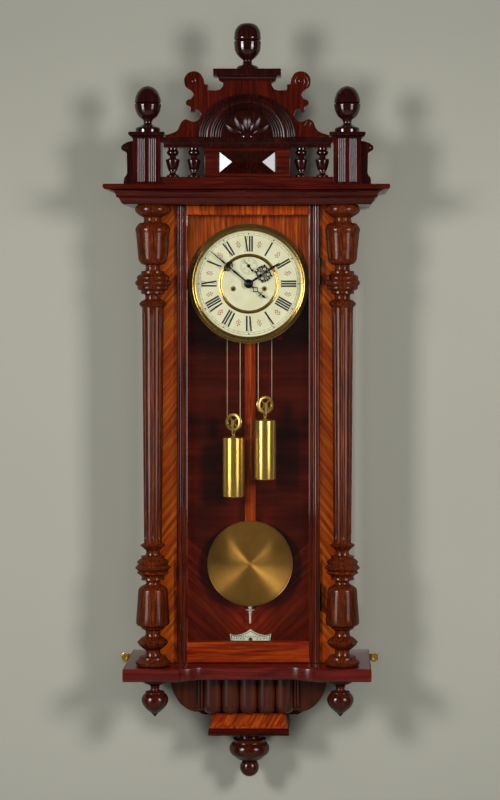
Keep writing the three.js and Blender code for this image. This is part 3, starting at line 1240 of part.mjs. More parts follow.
// Weight with its hook and the stirrup that straddles the pulley
function weight(pulleyZ) {
  const strapTop = pulleyZ + STIRRUP_WIDTH / 2;
  const bridgeTop = pulleyZ - PULLEY_RADIUS - STIRRUP_DROP;
  const bridgeLow = bridgeTop - STIRRUP_THICK;
  const top = bridgeLow - HOOK_HEIGHT;
  const bottom = top - WEIGHT_HEIGHT;
  const outline = [
    [1 - WEIGHT_ROUND / WEIGHT_RADIUS, 0],
    [1, WEIGHT_ROUND / WEIGHT_HEIGHT],
    [1, 1 - WEIGHT_ROUND / WEIGHT_HEIGHT],
    [1 - WEIGHT_ROUND / WEIGHT_RADIUS, 1],
  ];
  const body = turned(outline, WEIGHT_RADIUS, WEIGHT_HEIGHT, RIM_SIDES).translate(0, 0, bottom);
  const hook = stem(HOOK_RADIUS, top - FIT, bridgeTop - FIT, 0, 0);
  const inner = PULLEY_THICK / 2 + RUNNING;
  const outer = inner + STIRRUP_THICK;
  const half = STIRRUP_WIDTH / 2;
  const strap = (front) => block(-half, half, front, front + STIRRUP_THICK, bridgeLow, strapTop);
  const bridge = block(-half, half, -outer, outer, bridgeLow, bridgeTop);
  const axle = pin(PULLEY_AXLE, -outer - STIRRUP_THICK, outer + STIRRUP_THICK, 0, pulleyZ);
  const whole = join(body, hook, strap(-outer), strap(inner), bridge, axle);
  return whole.rotateZ(PULLEY_YAW).translate(WEIGHT_X, WEIGHT_Y, 0);
}

// Spoked pulley with a grooved rim
function pulley(pulleyZ) {
  const half = PULLEY_THICK / 2;
  const rimInner = PULLEY_GROOVE - PULLEY_RIM;
  const rim = [
    [rimInner, -half], [PULLEY_RADIUS, -half], [PULLEY_GROOVE, 0],
    [PULLEY_RADIUS, half], [rimInner, half], [rimInner, -half],
  ].map(([r, y]) => new THREE.Vector2(r, y));
  const pieces = [facingOut(indexed(new THREE.LatheGeometry(rim, RIM_SIDES)))];
  pieces.push(pin(PULLEY_HUB, -half, half, 0, 0));
  const spokeHalf = PULLEY_SPOKE_WIDTH / 2;
  const spokeEnd = PULLEY_GROOVE - PULLEY_RIM / 2;
  for (let i = 0; i < PULLEY_SPOKES; i++) {
    const spoke = block(-spokeHalf, spokeHalf, -half / 2, half / 2, PULLEY_HUB / 2, spokeEnd);
    pieces.push(spoke.rotateY(((i + 0.5) / PULLEY_SPOKES) * FULL_TURN));
  }
  const bore = pin(PULLEY_AXLE + FIT, -half - OVERRUN, half + OVERRUN, 0, 0);
  return cut(join(...pieces), bore).rotateZ(PULLEY_YAW).translate(WEIGHT_X, WEIGHT_Y, pulleyZ);
}

// Cable from the drum down round the pulley and up to its stud
function cable(pulleyZ) {
  const reach = PULLEY_GROOVE + CABLE_RADIUS + FIT;
  class Bend extends THREE.Curve {
    getPoint(t, target = new THREE.Vector3()) {
      const angle = HALF_TURN + t * HALF_TURN;
      return target.set(reach * Math.cos(angle), 0, reach * Math.sin(angle));
    }
  }
  const section = new THREE.Shape();
  section.absarc(0, 0, CABLE_RADIUS, 0, FULL_TURN, false);
  const bend = new THREE.ExtrudeGeometry(section, {
    steps: CABLE_BEND_STEPS, extrudePath: new Bend(), bevelEnabled: false, curveSegments: CABLE_SIDES / 2,
  }).rotateZ(PULLEY_YAW).translate(WEIGHT_X, WEIGHT_Y, pulleyZ);
  const run = runningLine();
  const dead = deadLine();
  const lap = CABLE_RADIUS / 2;
  const running = stem(CABLE_RADIUS, pulleyZ - lap, DRUM_Z, run.x, run.y, CABLE_SIDES);
  const standing = stem(
    CABLE_RADIUS, pulleyZ - lap, CABLE_STUD_Z - CABLE_STUD_RADIUS - FIT, dead.x, dead.y, CABLE_SIDES,
  );
  return join(bend, running, standing);
}

// Barrel with its flange, great wheel and winding arbor
function drum() {
  const barrel = runningLine().x - DRUM_X - CABLE_RADIUS - FIT;
  const front = DRUM_BACK_Y - DRUM_LENGTH;
  const body = pin(barrel, front, DRUM_BACK_Y, 0, 0, ROUND_SIDES);
  const flangeEnd = DRUM_BACK_Y + DRUM_FLANGE;
  const flangeBack = pin(barrel + DRUM_FLANGE * 2, DRUM_BACK_Y, flangeEnd, 0, 0, ROUND_SIDES);
  const flangeFront = pin(barrel + DRUM_FLANGE, front - DRUM_FLANGE, front, 0, 0, ROUND_SIDES);
  const gearFront = front - DRUM_FLANGE - WHEEL_THICK;
  const gear = wheel(
    GREAT_WHEEL_RADIUS, GREAT_WHEEL_TEETH, TOOTH_DEPTH, ARBOR_RADIUS, gearFront, WHEEL_THICK,
  );
  const arbor = pin(WINDING_SQUARE, DIAL_Y + DIAL_THICK, BACK_PLATE_Y, 0, 0);
  return join(body, flangeBack, flangeFront, gear, arbor).translate(DRUM_X, 0, DRUM_Z);
}

// Hands, drawn pointing up and then turned to the time shown
function handShape(length, tail, width) {
  const shape = new THREE.Shape();
  const thin = width * 0.16;
  shape.moveTo(0, length);
  shape.quadraticCurveTo(thin * 2, length * 0.86, thin, length * 0.78);
  shape.quadraticCurveTo(width, length * 0.7, width * 0.7, length * 0.6);
  shape.quadraticCurveTo(width * 0.35, length * 0.54, thin, length * 0.52);
  shape.quadraticCurveTo(width * 0.6, length * 0.44, thin, length * 0.36);
  shape.lineTo(thin * 1.4, 0);
  shape.lineTo(thin * 1.2, -tail * 0.6);
  shape.quadraticCurveTo(width * 0.6, -tail * 0.8, 0, -tail);
  shape.quadraticCurveTo(-width * 0.6, -tail * 0.8, -thin * 1.2, -tail * 0.6);
  shape.lineTo(-thin * 1.4, 0);
  shape.lineTo(-thin, length * 0.36);
  shape.quadraticCurveTo(-width * 0.6, length * 0.44, -thin, length * 0.52);
  shape.quadraticCurveTo(-width * 0.35, length * 0.54, -width * 0.7, length * 0.6);
  shape.quadraticCurveTo(-width, length * 0.7, -thin, length * 0.78);
  shape.quadraticCurveTo(-thin * 2, length * 0.86, 0, length);
  return shape;
}

function minuteHand() {
  const back = MINUTE_HAND_Y + HAND_THICK;
  const hand = upright(handShape(MINUTE_HAND, MINUTE_TAIL, HAND_HUB), MINUTE_HAND_Y, back, HAND_SEGMENTS);
  const hub = pin(HAND_HUB, MINUTE_HAND_Y, back, 0, 0, ROUND_SIDES);
  const bore = pin(ARBOR_RADIUS + FIT, MINUTE_HAND_Y - OVERRUN, MINUTE_HAND_Y + OVERRUN, 0, 0);
  return cut(join(hand, hub), bore).rotateY(MINUTE_ANGLE);
}

function hourHand() {
  const back = HOUR_HAND_Y + HAND_THICK;
  const wheelBack = HOUR_WHEEL_Y + WHEEL_THICK;
  const hand = upright(handShape(HOUR_HAND, HOUR_TAIL, HAND_HUB), HOUR_HAND_Y, back, HAND_SEGMENTS);
  const hub = pin(HAND_HUB, HOUR_HAND_Y, back, 0, 0, ROUND_SIDES);
  const pipe = pin(HOUR_PIPE_RADIUS, HOUR_HAND_Y, wheelBack, 0, 0, ROUND_SIDES);
  const gear = wheel(
    HOUR_WHEEL_RADIUS, HOUR_WHEEL_TEETH, TOOTH_DEPTH, ARBOR_RADIUS, HOUR_WHEEL_Y, WHEEL_THICK,
  );
  const collar = pin(HOUR_PIPE_RADIUS * 1.5, HOUR_WHEEL_Y, wheelBack, 0, 0, ROUND_SIDES);
  const bore = pin(ARBOR_RADIUS + FIT, HOUR_HAND_Y - OVERRUN, FRONT_PLATE_Y, 0, 0);
  return cut(join(hand, hub, pipe, gear, collar), bore).rotateY(HOUR_ANGLE);
}

function secondsHand() {
  const hub = pin(SECONDS_ARBOR * 2, SECONDS_HAND_Y, SECONDS_HAND_Y + HAND_THICK, 0, 0);
  const needle = new THREE.Shape([
    [-SECONDS_ARBOR / 2, SECONDS_ARBOR], [-SECONDS_ARBOR, -SECONDS_TAIL], [SECONDS_ARBOR, -SECONDS_TAIL],
    [SECONDS_ARBOR / 2, SECONDS_ARBOR], [0, SECONDS_HAND],
  ].map(([x, z]) => new THREE.Vector2(x, z)));
  const bore = pin(SECONDS_ARBOR + FIT, SECONDS_HAND_Y - OVERRUN, SECONDS_HAND_Y + OVERRUN, 0, 0);
  const hand = upright(needle, SECONDS_HAND_Y, SECONDS_HAND_Y + HAND_THICK);
  return cut(join(hub, hand), bore).rotateY(SECONDS_ANGLE).translate(0, 0, SECONDS_Z);
}

// Spiral wire gong on a block fixed to the backboard
function gong() {
  class Spiral extends THREE.Curve {
    getPoint(t, target = new THREE.Vector3()) {
      const angle = t * GONG_TURNS * FULL_TURN;
      const radius = THREE.MathUtils.lerp(GONG_INNER, GONG_OUTER, t);
      return target.set(radius * Math.cos(angle), GONG_Y, GONG_Z + radius * Math.sin(angle));
    }
  }
  const section = new THREE.Shape();
  section.absarc(0, 0, GONG_WIRE, 0, FULL_TURN, false);
  const coil = new THREE.ExtrudeGeometry(section, {
    steps: GONG_STEPS, extrudePath: new Spiral(), bevelEnabled: false, curveSegments: 3,
  });
  const boss = pin(GONG_BLOCK_RADIUS, GONG_Y - GONG_WIRE, BOARD_SEAT, 0, GONG_Z, ROUND_SIDES);
  const lugEnd = GONG_INNER + GONG_WIRE;
  const wire = GONG_WIRE;
  const lug = block(0, lugEnd, GONG_Y - wire, GONG_Y + wire, GONG_Z - wire, GONG_Z + wire);
  return join(coil, boss, lug);
}

// Hammer on its arbor behind the movement, its head just clear of the gong's outer turn
function gongHammer() {
  const headLeft = GONG_OUTER + GONG_WIRE + HAMMER_GAP;
  const headMiddle = headLeft + HAMMER_HEAD_LENGTH / 2;
  const arborFront = FRONT_PLATE_Y + PLATE_THICK + FIT;
  const arbor = pin(ARBOR_RADIUS, arborFront, GONG_Y + HAMMER_ARM, HAMMER_X, HAMMER_Z);
  const head = new THREE.CylinderGeometry(
    HAMMER_HEAD_RADIUS, HAMMER_HEAD_RADIUS, HAMMER_HEAD_LENGTH, SMALL_SIDES,
  ).rotateZ(RIGHT_ANGLE).translate(headMiddle, GONG_Y, GONG_Z);
  const half = HAMMER_ARM / 2;
  const arm = new THREE.Shape([
    [HAMMER_X - half, HAMMER_Z], [headMiddle - half, GONG_Z],
    [headMiddle + half, GONG_Z], [HAMMER_X + half, HAMMER_Z],
  ].map(([x, z]) => new THREE.Vector2(x, z)));
  return join(arbor, head, upright(arm, GONG_Y - half, GONG_Y + half));
}

// Case
add("backboard", backboard(), walnut);
add("hanger_plate", hangerPlate(), brass);
addPair("case_side", caseSide, veneer);
addPair("side_glass", sideGlass, glass);
add("cornice", cornice(), walnut);
add("base_plank", plank(), walnut);
addPair("column", column, walnut);
add("dial_mask", dialMask(), veneer);
add("door_frame", doorFrame(), walnut);
add("door_glass", doorGlass(), glass);

// Gallery and crest
addPair("corner_post", cornerPost, ebonised);
const postTop = CREST_BASE + POST_CAP_HEIGHT + FIT;
addPair("side_finial", () => finial(SIDE_FINIAL_SHARES, POST_X, postTop), ebonised);
add("gallery_balustrade", balustrade(), walnut);
add("gallery_upper_rail", upperRail(), ebonised);
add("gallery_tablet", tablet(), walnut);
add("pediment", pediment(), walnut);
add("arch_moulding", archMoulding(), ebonised);
add("pediment_cap", pedimentCap(), ebonised);
const crestTop = CREST_BASE + PEDIMENT_HEIGHT + FIT + CAP_HEIGHT + FIT;
add("top_finial", finial(TOP_FINIAL_SHARES, 0, crestTop), ebonised);

// Below the plank
addPair("drop_finial", dropFinial, walnut);
add("apron", apron(), walnut);
add("foot_block", footBlock(), veneer);
add("bottom_finial", bottomFinial(), walnut);
addPair("leveller_bracket", levellerBracket, brass);
addPair("leveller_screw", levellerScrew, brass);

// Movement, dial and hands
add("movement_seat", movementSeat(), walnut);
add("movement_frame", movementFrame(), brass);
add("centre_arbor", centreArbor(), brass);
add("escape_wheel", escapeWheel(), brass);
add("pallet_anchor", palletAnchor(), bright);
addPair("drum", drum, brass);
add("gong", gong(), steel);
add("gong_hammer", gongHammer(), bright);
add("dial_plate", dialPlate(), enamel);
add("dial_bezel", bezel(), brass);
add("hour_hand", hourHand(), steel);
add("minute_hand", minuteHand(), steel);
add("seconds_hand", secondsHand(), steel);

// Pendulum
add("suspension_bracket", suspensionBracket(), brass);
add("pendulum_rod", pendulumRod(), rodWood);
add("pendulum_bob", bob(), brass);
add("rating_nut", ratingNut(), brass);
add("beat_scale", beatScale(), ivory);

// Weights, each at its own height
add("weight_right", weight(RIGHT_PULLEY_Z), brass);
add("pulley_right", pulley(RIGHT_PULLEY_Z), brass);
add("cable_right", cable(RIGHT_PULLEY_Z), bright);
const leftSide = new THREE.Group();
leftSide.scale.x = -1;
clock.add(leftSide);
add("weight_left", weight(LEFT_PULLEY_Z), brass, leftSide);
add("pulley_left", pulley(LEFT_PULLEY_Z), brass, leftSide);
add("cable_left", cable(LEFT_PULLEY_Z), bright, leftSide);

export default clock;
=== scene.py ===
"""Finishes, fine detail, light and camera for a tall glazed wall clock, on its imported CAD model."""
import math

import bmesh
import bpy
from mathutils import Matrix, Vector


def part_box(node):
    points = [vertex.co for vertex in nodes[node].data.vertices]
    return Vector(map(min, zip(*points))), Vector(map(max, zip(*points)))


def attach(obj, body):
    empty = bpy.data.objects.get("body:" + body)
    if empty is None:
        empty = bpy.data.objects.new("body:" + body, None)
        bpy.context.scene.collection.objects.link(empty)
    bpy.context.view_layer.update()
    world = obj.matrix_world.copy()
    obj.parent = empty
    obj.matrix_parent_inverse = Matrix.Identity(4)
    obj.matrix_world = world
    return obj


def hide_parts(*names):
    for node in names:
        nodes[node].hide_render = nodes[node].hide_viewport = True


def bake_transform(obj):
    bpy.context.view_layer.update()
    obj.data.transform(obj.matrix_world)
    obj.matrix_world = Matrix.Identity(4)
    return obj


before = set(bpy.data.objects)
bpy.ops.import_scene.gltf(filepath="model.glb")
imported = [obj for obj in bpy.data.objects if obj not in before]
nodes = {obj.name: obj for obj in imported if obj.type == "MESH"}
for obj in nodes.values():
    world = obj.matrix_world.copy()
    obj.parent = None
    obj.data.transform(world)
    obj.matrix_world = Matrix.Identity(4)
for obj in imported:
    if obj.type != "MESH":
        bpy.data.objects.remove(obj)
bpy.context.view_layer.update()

MM = 0.001


# Materials
UPRIGHT = (0, 0, 0)
ALONG_X = (0, math.radians(90), 0)
DIAGONAL = (0, math.radians(38), 0)
CHEVRON = (0, math.radians(-46), 0)
FOOT_SLANT = (0, math.radians(-30), 0)
BEND_SCALE = (9, 4)
BEND_AMOUNT = 0.018
STREAK_STRETCH = 22
PORE_SCALE = (1500, 55)
FIGURE_SCALE = (26, 9)
JOINT_SLOPE = 0.97
JOINT_POINT = -0.56
JOINT_LINE = (0.0005, 0.0018)
PANEL_PAINTED_SHADE = (-0.62, -0.1)
PANEL_FOOT = (-0.676, -0.68)
SPUN_RINGS = 1800.0


def rgb(code):
    """Linear colour of an sRGB hex number."""
    channels = [(code >> shift & 255) / 255 for shift in (16, 8, 0)]
    return tuple(c / 12.92 if c <= 0.04045 else ((c + 0.055) / 1.055) ** 2.4 for c in channels)


def node(tree, kind, inputs=None, **settings):
    """A shader node with its settings, and its inputs set to values or linked to sockets."""
    made = tree.nodes.new("ShaderNode" + kind)
    for key, value in settings.items():
        setattr(made, key, value)
    for key, value in (inputs or {}).items():
        if isinstance(value, bpy.types.NodeSocket):
            tree.links.new(value, made.inputs[key])
        else:
            made.inputs[key].default_value = value
    return made


def calculated(tree, operation, *values):
    return node(tree, "Math", dict(enumerate(values)), operation=operation).outputs[0]


def mapped(tree, value, low, high, start=0.0, stop=1.0):
    """A value carried from the range of low to high into that of start to stop."""
    inputs = {"Value": value, "From Min": low, "From Max": high, "To Min": start, "To Max": stop}
    return node(tree, "MapRange", inputs).outputs[0]


def noise(tree, space, scale, detail, roughness=0.5):
    return node(tree, "TexNoise", {"Vector": space, "Scale": scale, "Detail": detail, "Roughness": roughness})


def mixed(tree, share, one, other, way="MIX"):
    return node(tree, "MixRGB", {"Fac": share, "Color1": one, "Color2": other}, blend_type=way).outputs[0]


def ramp(tree, factor, stops):
    made = node(tree, "ValToRGB", {"Fac": factor})
    elements = made.color_ramp.elements
    while len(elements) < len(stops):
        elements.new(0.5)
    for element, (place, color) in zip(elements, stops):
        element.position = place
        element.color = (*color, 1)
    return made.outputs["Color"]


def relief(tree, shader, height, strength, distance):
    """Fine bumps on a surface, from a height."""
    bump = node(tree, "Bump", {"Height": height, "Strength": strength, "Distance": distance})
    tree.links.new(bump.outputs[0], shader.inputs["Normal"])


def principled(name, code, roughness, metallic=0.0, coat=0.0, coat_roughness=0.1):
    material = bpy.data.materials.new(name)
    material.use_nodes = True
    tree = material.node_tree
    shader = tree.nodes["Principled BSDF"]
    shader.inputs["Base Color"].default_value = (*rgb(code), 1)
    shader.inputs["Roughness"].default_value = roughness
    shader.inputs["Metallic"].default_value = metallic
    shader.inputs["Coat Weight"].default_value = coat
    shader.inputs["Coat Roughness"].default_value = coat_roughness
    return material, tree, shader


def object_space(tree):
    return node(tree, "TexCoord").outputs["Object"]


def grain_space(tree, turn, book_matched):
    """Object coordinates with the grain along Z, mirrored left and right where book-matched."""
    place = object_space(tree)
    if book_matched:
        parts = node(tree, "SeparateXYZ", {0: place}).outputs
        side = calculated(tree, "ABSOLUTE", parts[0])
        place = node(tree, "CombineXYZ", {0: side, 1: parts[1], 2: parts[2]}).outputs[0]
    return node(tree, "Mapping", {"Vector": place, "Rotation": turn}).outputs[0]


def grain(tree, space, codes, streak, figure):
    """Colour, streaks and pores of wood whose grain runs along Z of the space."""
    def stretched(across, along, place=space):
        return node(tree, "Mapping", {"Vector": place, "Scale": (across, across, along)}).outputs[0]

    bend = noise(tree, stretched(*BEND_SCALE), 1.0, 2.0).outputs["Color"]
    moved = mixed(tree, BEND_AMOUNT, space, bend, "ADD")
    streaks = noise(tree, stretched(streak, streak / STREAK_STRETCH, moved), 1.0, 5.0, 0.6).outputs["Fac"]
    pores = noise(tree, stretched(*PORE_SCALE), 1.0, 2.0).outputs["Fac"]
    broad = noise(tree, stretched(*FIGURE_SCALE), 1.0, 3.0).outputs["Fac"]
    color = ramp(tree, streaks, list(zip((0.3, 0.5, 0.72), map(rgb, codes))))
    shade = ramp(tree, broad, [(0.3, (1 - figure,) * 3), (0.62, (1, 1, 1))])
    color = mixed(tree, 1.0, color, shade, "MULTIPLY")
    shade = ramp(tree, pores, [(0.3, (0.72,) * 3), (0.45, (1, 1, 1))])
    return mixed(tree, 1.0, color, shade, "MULTIPLY"), streaks, pores


def polished(tree, shader, color, streaks, pores, rough):
    """Links the colour and the fine relief of a grain to a French-polished surface."""
    tree.links.new(color, shader.inputs["Base Color"])
    roughness = mapped(tree, streaks, 0.0, 1.0, rough - 0.06, rough + 0.08)
    tree.links.new(roughness, shader.inputs["Roughness"])
    relief(tree, shader, pores, 0.12, 0.0002)


def wood(
    name, dark, middle, light, turn=UPRIGHT, book_matched=False, streak=230, figure=0.35, rough=0.45,
    coat=0.7, coat_roughness=0.1,
):
    """French-polished wood: streaks and fine pores along the grain, with broad figure across it."""
    material, tree, shader = principled(name, middle, rough, 0, coat, coat_roughness)
    shader.inputs["Specular IOR Level"].default_value = 0.0
    space = grain_space(tree, turn, book_matched)
    color, streaks, pores = grain(tree, space, (dark, middle, light), streak, figure)
    polished(tree, shader, color, streaks, pores, rough)
    return material


def panel_wood(name, upper, lower, apron):
    """A back panel: cross grain above a V-shaped joint, slanting veneer under it, plain wood at the foot, and
    painted shade that darkens it towards its top.
    """
    material, tree, shader = principled(name, upper[1], 0.45, 0, 0.6)
    shader.inputs["Specular IOR Level"].default_value = 0.0
    parts = node(tree, "SeparateXYZ", {0: object_space(tree)}).outputs
    slope = calculated(tree, "MULTIPLY_ADD", calculated(tree, "ABSOLUTE", parts[0]), JOINT_SLOPE, JOINT_POINT)
    under = calculated(tree, "SUBTRACT", slope, parts[2])
    below = mapped(tree, under, 0.0, 0.0006)
    line = mapped(tree, calculated(tree, "ABSOLUTE", under), *JOINT_LINE, 0.45, 1.0)
    # Painted shade: the panel's colour is darkened towards its top.
    rise = mapped(tree, parts[2], *PANEL_PAINTED_SHADE, 1.0, 0.62)
    foot = mapped(tree, parts[2], *PANEL_FOOT)
    high, streaks, pores = grain(tree, grain_space(tree, ALONG_X, True), upper, 60, 0.5)
    low = grain(tree, grain_space(tree, CHEVRON, True), lower, 150, 0.4)[0]
    plain = grain(tree, grain_space(tree, UPRIGHT, False), apron, 200, 0.3)[0]
    color = mixed(tree, below, high, low)
    for shade in (line, rise):
        color = mixed(tree, 1.0, color, shade, "MULTIPLY")
    polished(tree, shader, mixed(tree, foot, color, plain), streaks, pores, 0.45)
    return material


def metal(
    name, code, rough, brushed=(900, 900, 900), tarnish=0.25, anisotropic=0.0, turning=None, metallic=1.0,
    spun=None,
):
    """Worked metal with fine scratches, straight or spun about a centre, and a slight tarnish."""
    material, tree, shader = principled(name, code, rough, metallic)
    place = object_space(tree)
    marks = node(tree, "Mapping", {"Vector": place, "Scale": brushed}).outputs[0]
    if spun:
        centre = (spun[0], 0, spun[1])
        away = node(tree, "VectorMath", {0: place, 1: centre}, operation="SUBTRACT").outputs[0]
        flat = node(tree, "VectorMath", {0: away, 1: (1, 0, 1)}, operation="MULTIPLY").outputs[0]
        radius = node(tree, "VectorMath", {0: flat}, operation="LENGTH").outputs["Value"]
        marks = node(tree, "CombineXYZ", {0: calculated(tree, "MULTIPLY", radius, SPUN_RINGS)}).outputs[0]
    scratches = noise(tree, marks, 1.0, 3.0).outputs["Fac"]
    cloud = noise(tree, place, 45.0, 4.0).outputs["Fac"]
    color = rgb(code)
    dull = tuple(c * (1 - tarnish) for c in color)
    tree.links.new(ramp(tree, cloud, [(0.35, dull), (0.6, color)]), shader.inputs["Base Color"])
    worn, spread = scratches, 0.04
    if not anisotropic:
        worn, spread = calculated(tree, "MULTIPLY", scratches, cloud), 0.2
    roughness = mapped(tree, worn, 0.0, 1.0, rough - spread / 3, rough + spread)
    tree.links.new(roughness, shader.inputs["Roughness"])
    relief(tree, shader, scratches, 0.04, 0.0001)
    if anisotropic:
        shader.inputs["Anisotropic"].default_value = anisotropic
        shader.inputs["Anisotropic Rotation"].default_value = 0.25
        tangent = node(tree, "Tangent", direction_type="RADIAL", axis=turning)
        tree.links.new(tangent.outputs[0], shader.inputs["Tangent"])
    return material


def clear_glass(name):
    material, tree, shader = principled(name, 0x2A3230, 0.02)
    shader.inputs["Alpha"].default_value = 0.05
    shader.inputs["Specular IOR Level"].default_value = 0.5
    relief(tree, shader, noise(tree, object_space(tree), 6.0, 1.0).outputs["Fac"], 0.05, 0.001)
    return material


def enamel(name, code, shade, rough, coat):
    material, tree, shader = principled(name, code, rough, 0, coat)
    place = object_space(tree)
    cloud = noise(tree, place, 38.0, 5.0).outputs["Fac"]
    tree.links.new(ramp(tree, cloud, [(0.35, rgb(shade)), (0.6, rgb(code))]), shader.inputs["Base Color"])
    relief(tree, shader, noise(tree, place, 900.0, 2.0).outputs["Fac"], 0.05, 0.0001)
    return material


walnut = wood("walnut", 0x240603, 0x400D06, 0x5C180A)
walnut_across = wood("walnut_across", 0x260603, 0x400C06, 0x5A140A, ALONG_X)
plank_wood = wood("plank_wood", 0x380805, 0x561009, 0x741A0C, ALONG_X, coat=0.9, coat_roughness=0.26)
walnut_red = wood("walnut_red", 0x4E1206, 0x82280C, 0xA84412, ALONG_X, streak=260, figure=0.3)
walnut_mid = wood("walnut_mid", 0x260704, 0x3E0E07, 0x5E1A0B, ALONG_X, streak=200)
turned_wood = wood("turned_wood", 0x240804, 0x3E1107, 0x5A220C, streak=420, coat_roughness=0.16)
column_wood = wood("column_wood", 0x2A0D04, 0x521E0A, 0x7C3812, streak=420, coat=0.42, coat_roughness=0.15)
ebonised = wood("ebonised", 0x140503, 0x260906, 0x3A100A, streak=300, coat=1.0, coat_roughness=0.08)
post_wood = wood("post_wood", 0x200404, 0x360806, 0x4C100A, coat=0.85, coat_roughness=0.08)
stile_wood = wood("stile_wood", 0x300D04, 0x4C1607, 0x68260B, coat=0.9, coat_roughness=0.07)
fan_wood = wood("fan_wood", 0x140503, 0x260906, 0x3A100A, streak=300, coat=0.5, coat_roughness=0.24)
lobe_wood = wood("lobe_wood", 0x2A0D07, 0x421709, 0x5A240E, streak=160, figure=0.25, coat_roughness=0.34)
face_veneer = wood("face_veneer", 0x7A2608, 0xA6420C, 0xC8701A, DIAGONAL, True, streak=200, figure=0.3)
dial_veneer = wood("dial_veneer", 0x5A1A05, 0x963408, 0xC46A16, streak=260, figure=0.4)
foot_veneer = wood("foot_veneer", 0x5E1804, 0x882C08, 0xBC5814, FOOT_SLANT)
back_veneer = panel_wood(
    "back_veneer", (0x4A0F06, 0x661808, 0x7C240C), (0x500F06, 0x741C08, 0x923010),
    (0x3A120A, 0x5A2010, 0x743018)
)
rod_wood = wood("rod_wood", 0x661C08, 0x96320C, 0xB2501A, streak=300, figure=0.2)
brass = metal("brass", 0xCBA650, 0.28, metallic=0.75)
brass_lathe = metal("brass_lathe", 0xA8883E, 0.2, tarnish=0.08, metallic=0.9, spun=(0, 0))
brass_bob = metal("brass_bob", 0xC48E3C, 0.37, (60, 2200, 60), 0.14, 0.98, "Y", 0.84, (0, -0.496))
brass_weight = metal("brass_weight", 0xD6B056, 0.24, (900, 900, 6), 0.1, 0.4, "Z", 0.85)
silver = metal("silver", 0xE6D6C2, 0.3, metallic=0.5)
brass_plain = metal("brass_plain", 0xB08C45, 0.32, metallic=0.8)
old_brass = metal("old_brass", 0x3A2A16, 0.45)
blued = metal("blued", 0x17161A, 0.3, tarnish=0.3)
steel = metal("steel", 0xA8A7A4, 0.28)
cord_steel = metal("cord_steel", 0xC0A47C, 0.5, metallic=0.3)
glass = clear_glass("glass")
dial_face = enamel("dial_face", 0xE2E0B8, 0xD8D6AC, 0.35, 0.3)
ivory = enamel("ivory", 0xE2E6CC, 0xCCD0B4, 0.45, 0.1)
ink = enamel("ink", 0x0C0D09, 0x070805, 0.6, 0.0)
grey_ink = enamel("grey_ink", 0x8C8F78, 0x7C7F6A, 0.5, 0.0)
sprig_ink = enamel("sprig_ink", 0xAC5830, 0x844A28, 0.5, 0.0)
scale_ink = enamel("scale_ink", 0x3C4430, 0x2E3424, 0.5, 0.0)


# Mesh tools
CORNERS = ((-1, -1), (1, -1), (1, 1), (-1, 1))
LONG_RUN = 3
SAME_PLACE = 1e-7
WELD_REACH = 1e-6
# The radius of a turned outline where it meets its axis
AXIS = 0.0001


def at_mm(x, y, z):
    """A place given in millimetres, in metres."""
    return Vector((x, y, z)) * MM


def metres(pairs):
    return [(a * MM, b * MM) for a, b in pairs]


def raised(z, pairs):
    """Pairs of (reach, height), lifted by z."""
    return [(reach, z + height) for reach, height in pairs]


def around(steps):
    """Angles evenly round a full turn."""
    return [2 * math.pi * i / steps for i in range(steps)]


def bands(levels, count, closed=False):
    """Faces between neighbouring rings of count points each, and from the last to the first where closed."""
    faces = []
    for level in range(levels if closed else levels - 1):
        low, high = level * count, (level + 1) % levels * count
        for i in range(count):
            j = (i + 1) % count
            faces.append((low + i, low + j, high + j, high + i))
    return faces


def end_faces(levels, count):
    """The two faces that close a run of rings."""
    return [tuple(range(count))[::-1], tuple(range((levels - 1) * count, levels * count))]


def build(name, verts, faces, material, body="case", slot=None, replaces=(), angle=32, weld=0.0):
    """A closed mesh with smooth shading across edges shallower than angle."""
    mesh = bpy.data.meshes.new(name)
    mesh.from_pydata([tuple(v) for v in verts], [], faces)
    work = bmesh.new()
    work.from_mesh(mesh)
    if weld:
        bmesh.ops.remove_doubles(work, verts=work.verts, dist=weld)
    bmesh.ops.recalc_face_normals(work, faces=work.faces)
    work.to_mesh(mesh)
    work.free()
    mesh.materials.append(material)
    mesh.polygons.foreach_set("use_smooth", [True] * len(mesh.polygons))
    mesh.set_sharp_from_angle(angle=math.radians(angle))
    made = bpy.data.objects.new(name, mesh)
    bpy.context.scene.collection.objects.link(made)
    return place(made, body, slot, replaces)


def place(made, body, slot, replaces):
    """Puts a whole piece on its body. A part of a piece has no slot, and is joined to the others first."""
    if not slot:
        return made
    if body:
        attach(made, body)
    if replaces:
        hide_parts(*replaces)
    return made


def bevelled(made, width, segments=2, angle=40):
    rounding = made.modifiers.new("rounded_edges", "BEVEL")
    rounding.width = width * MM
    rounding.segments = segments
    rounding.limit_method = "ANGLE"
    rounding.angle_limit = math.radians(angle)
    rounding.harden_normals = False
    return made


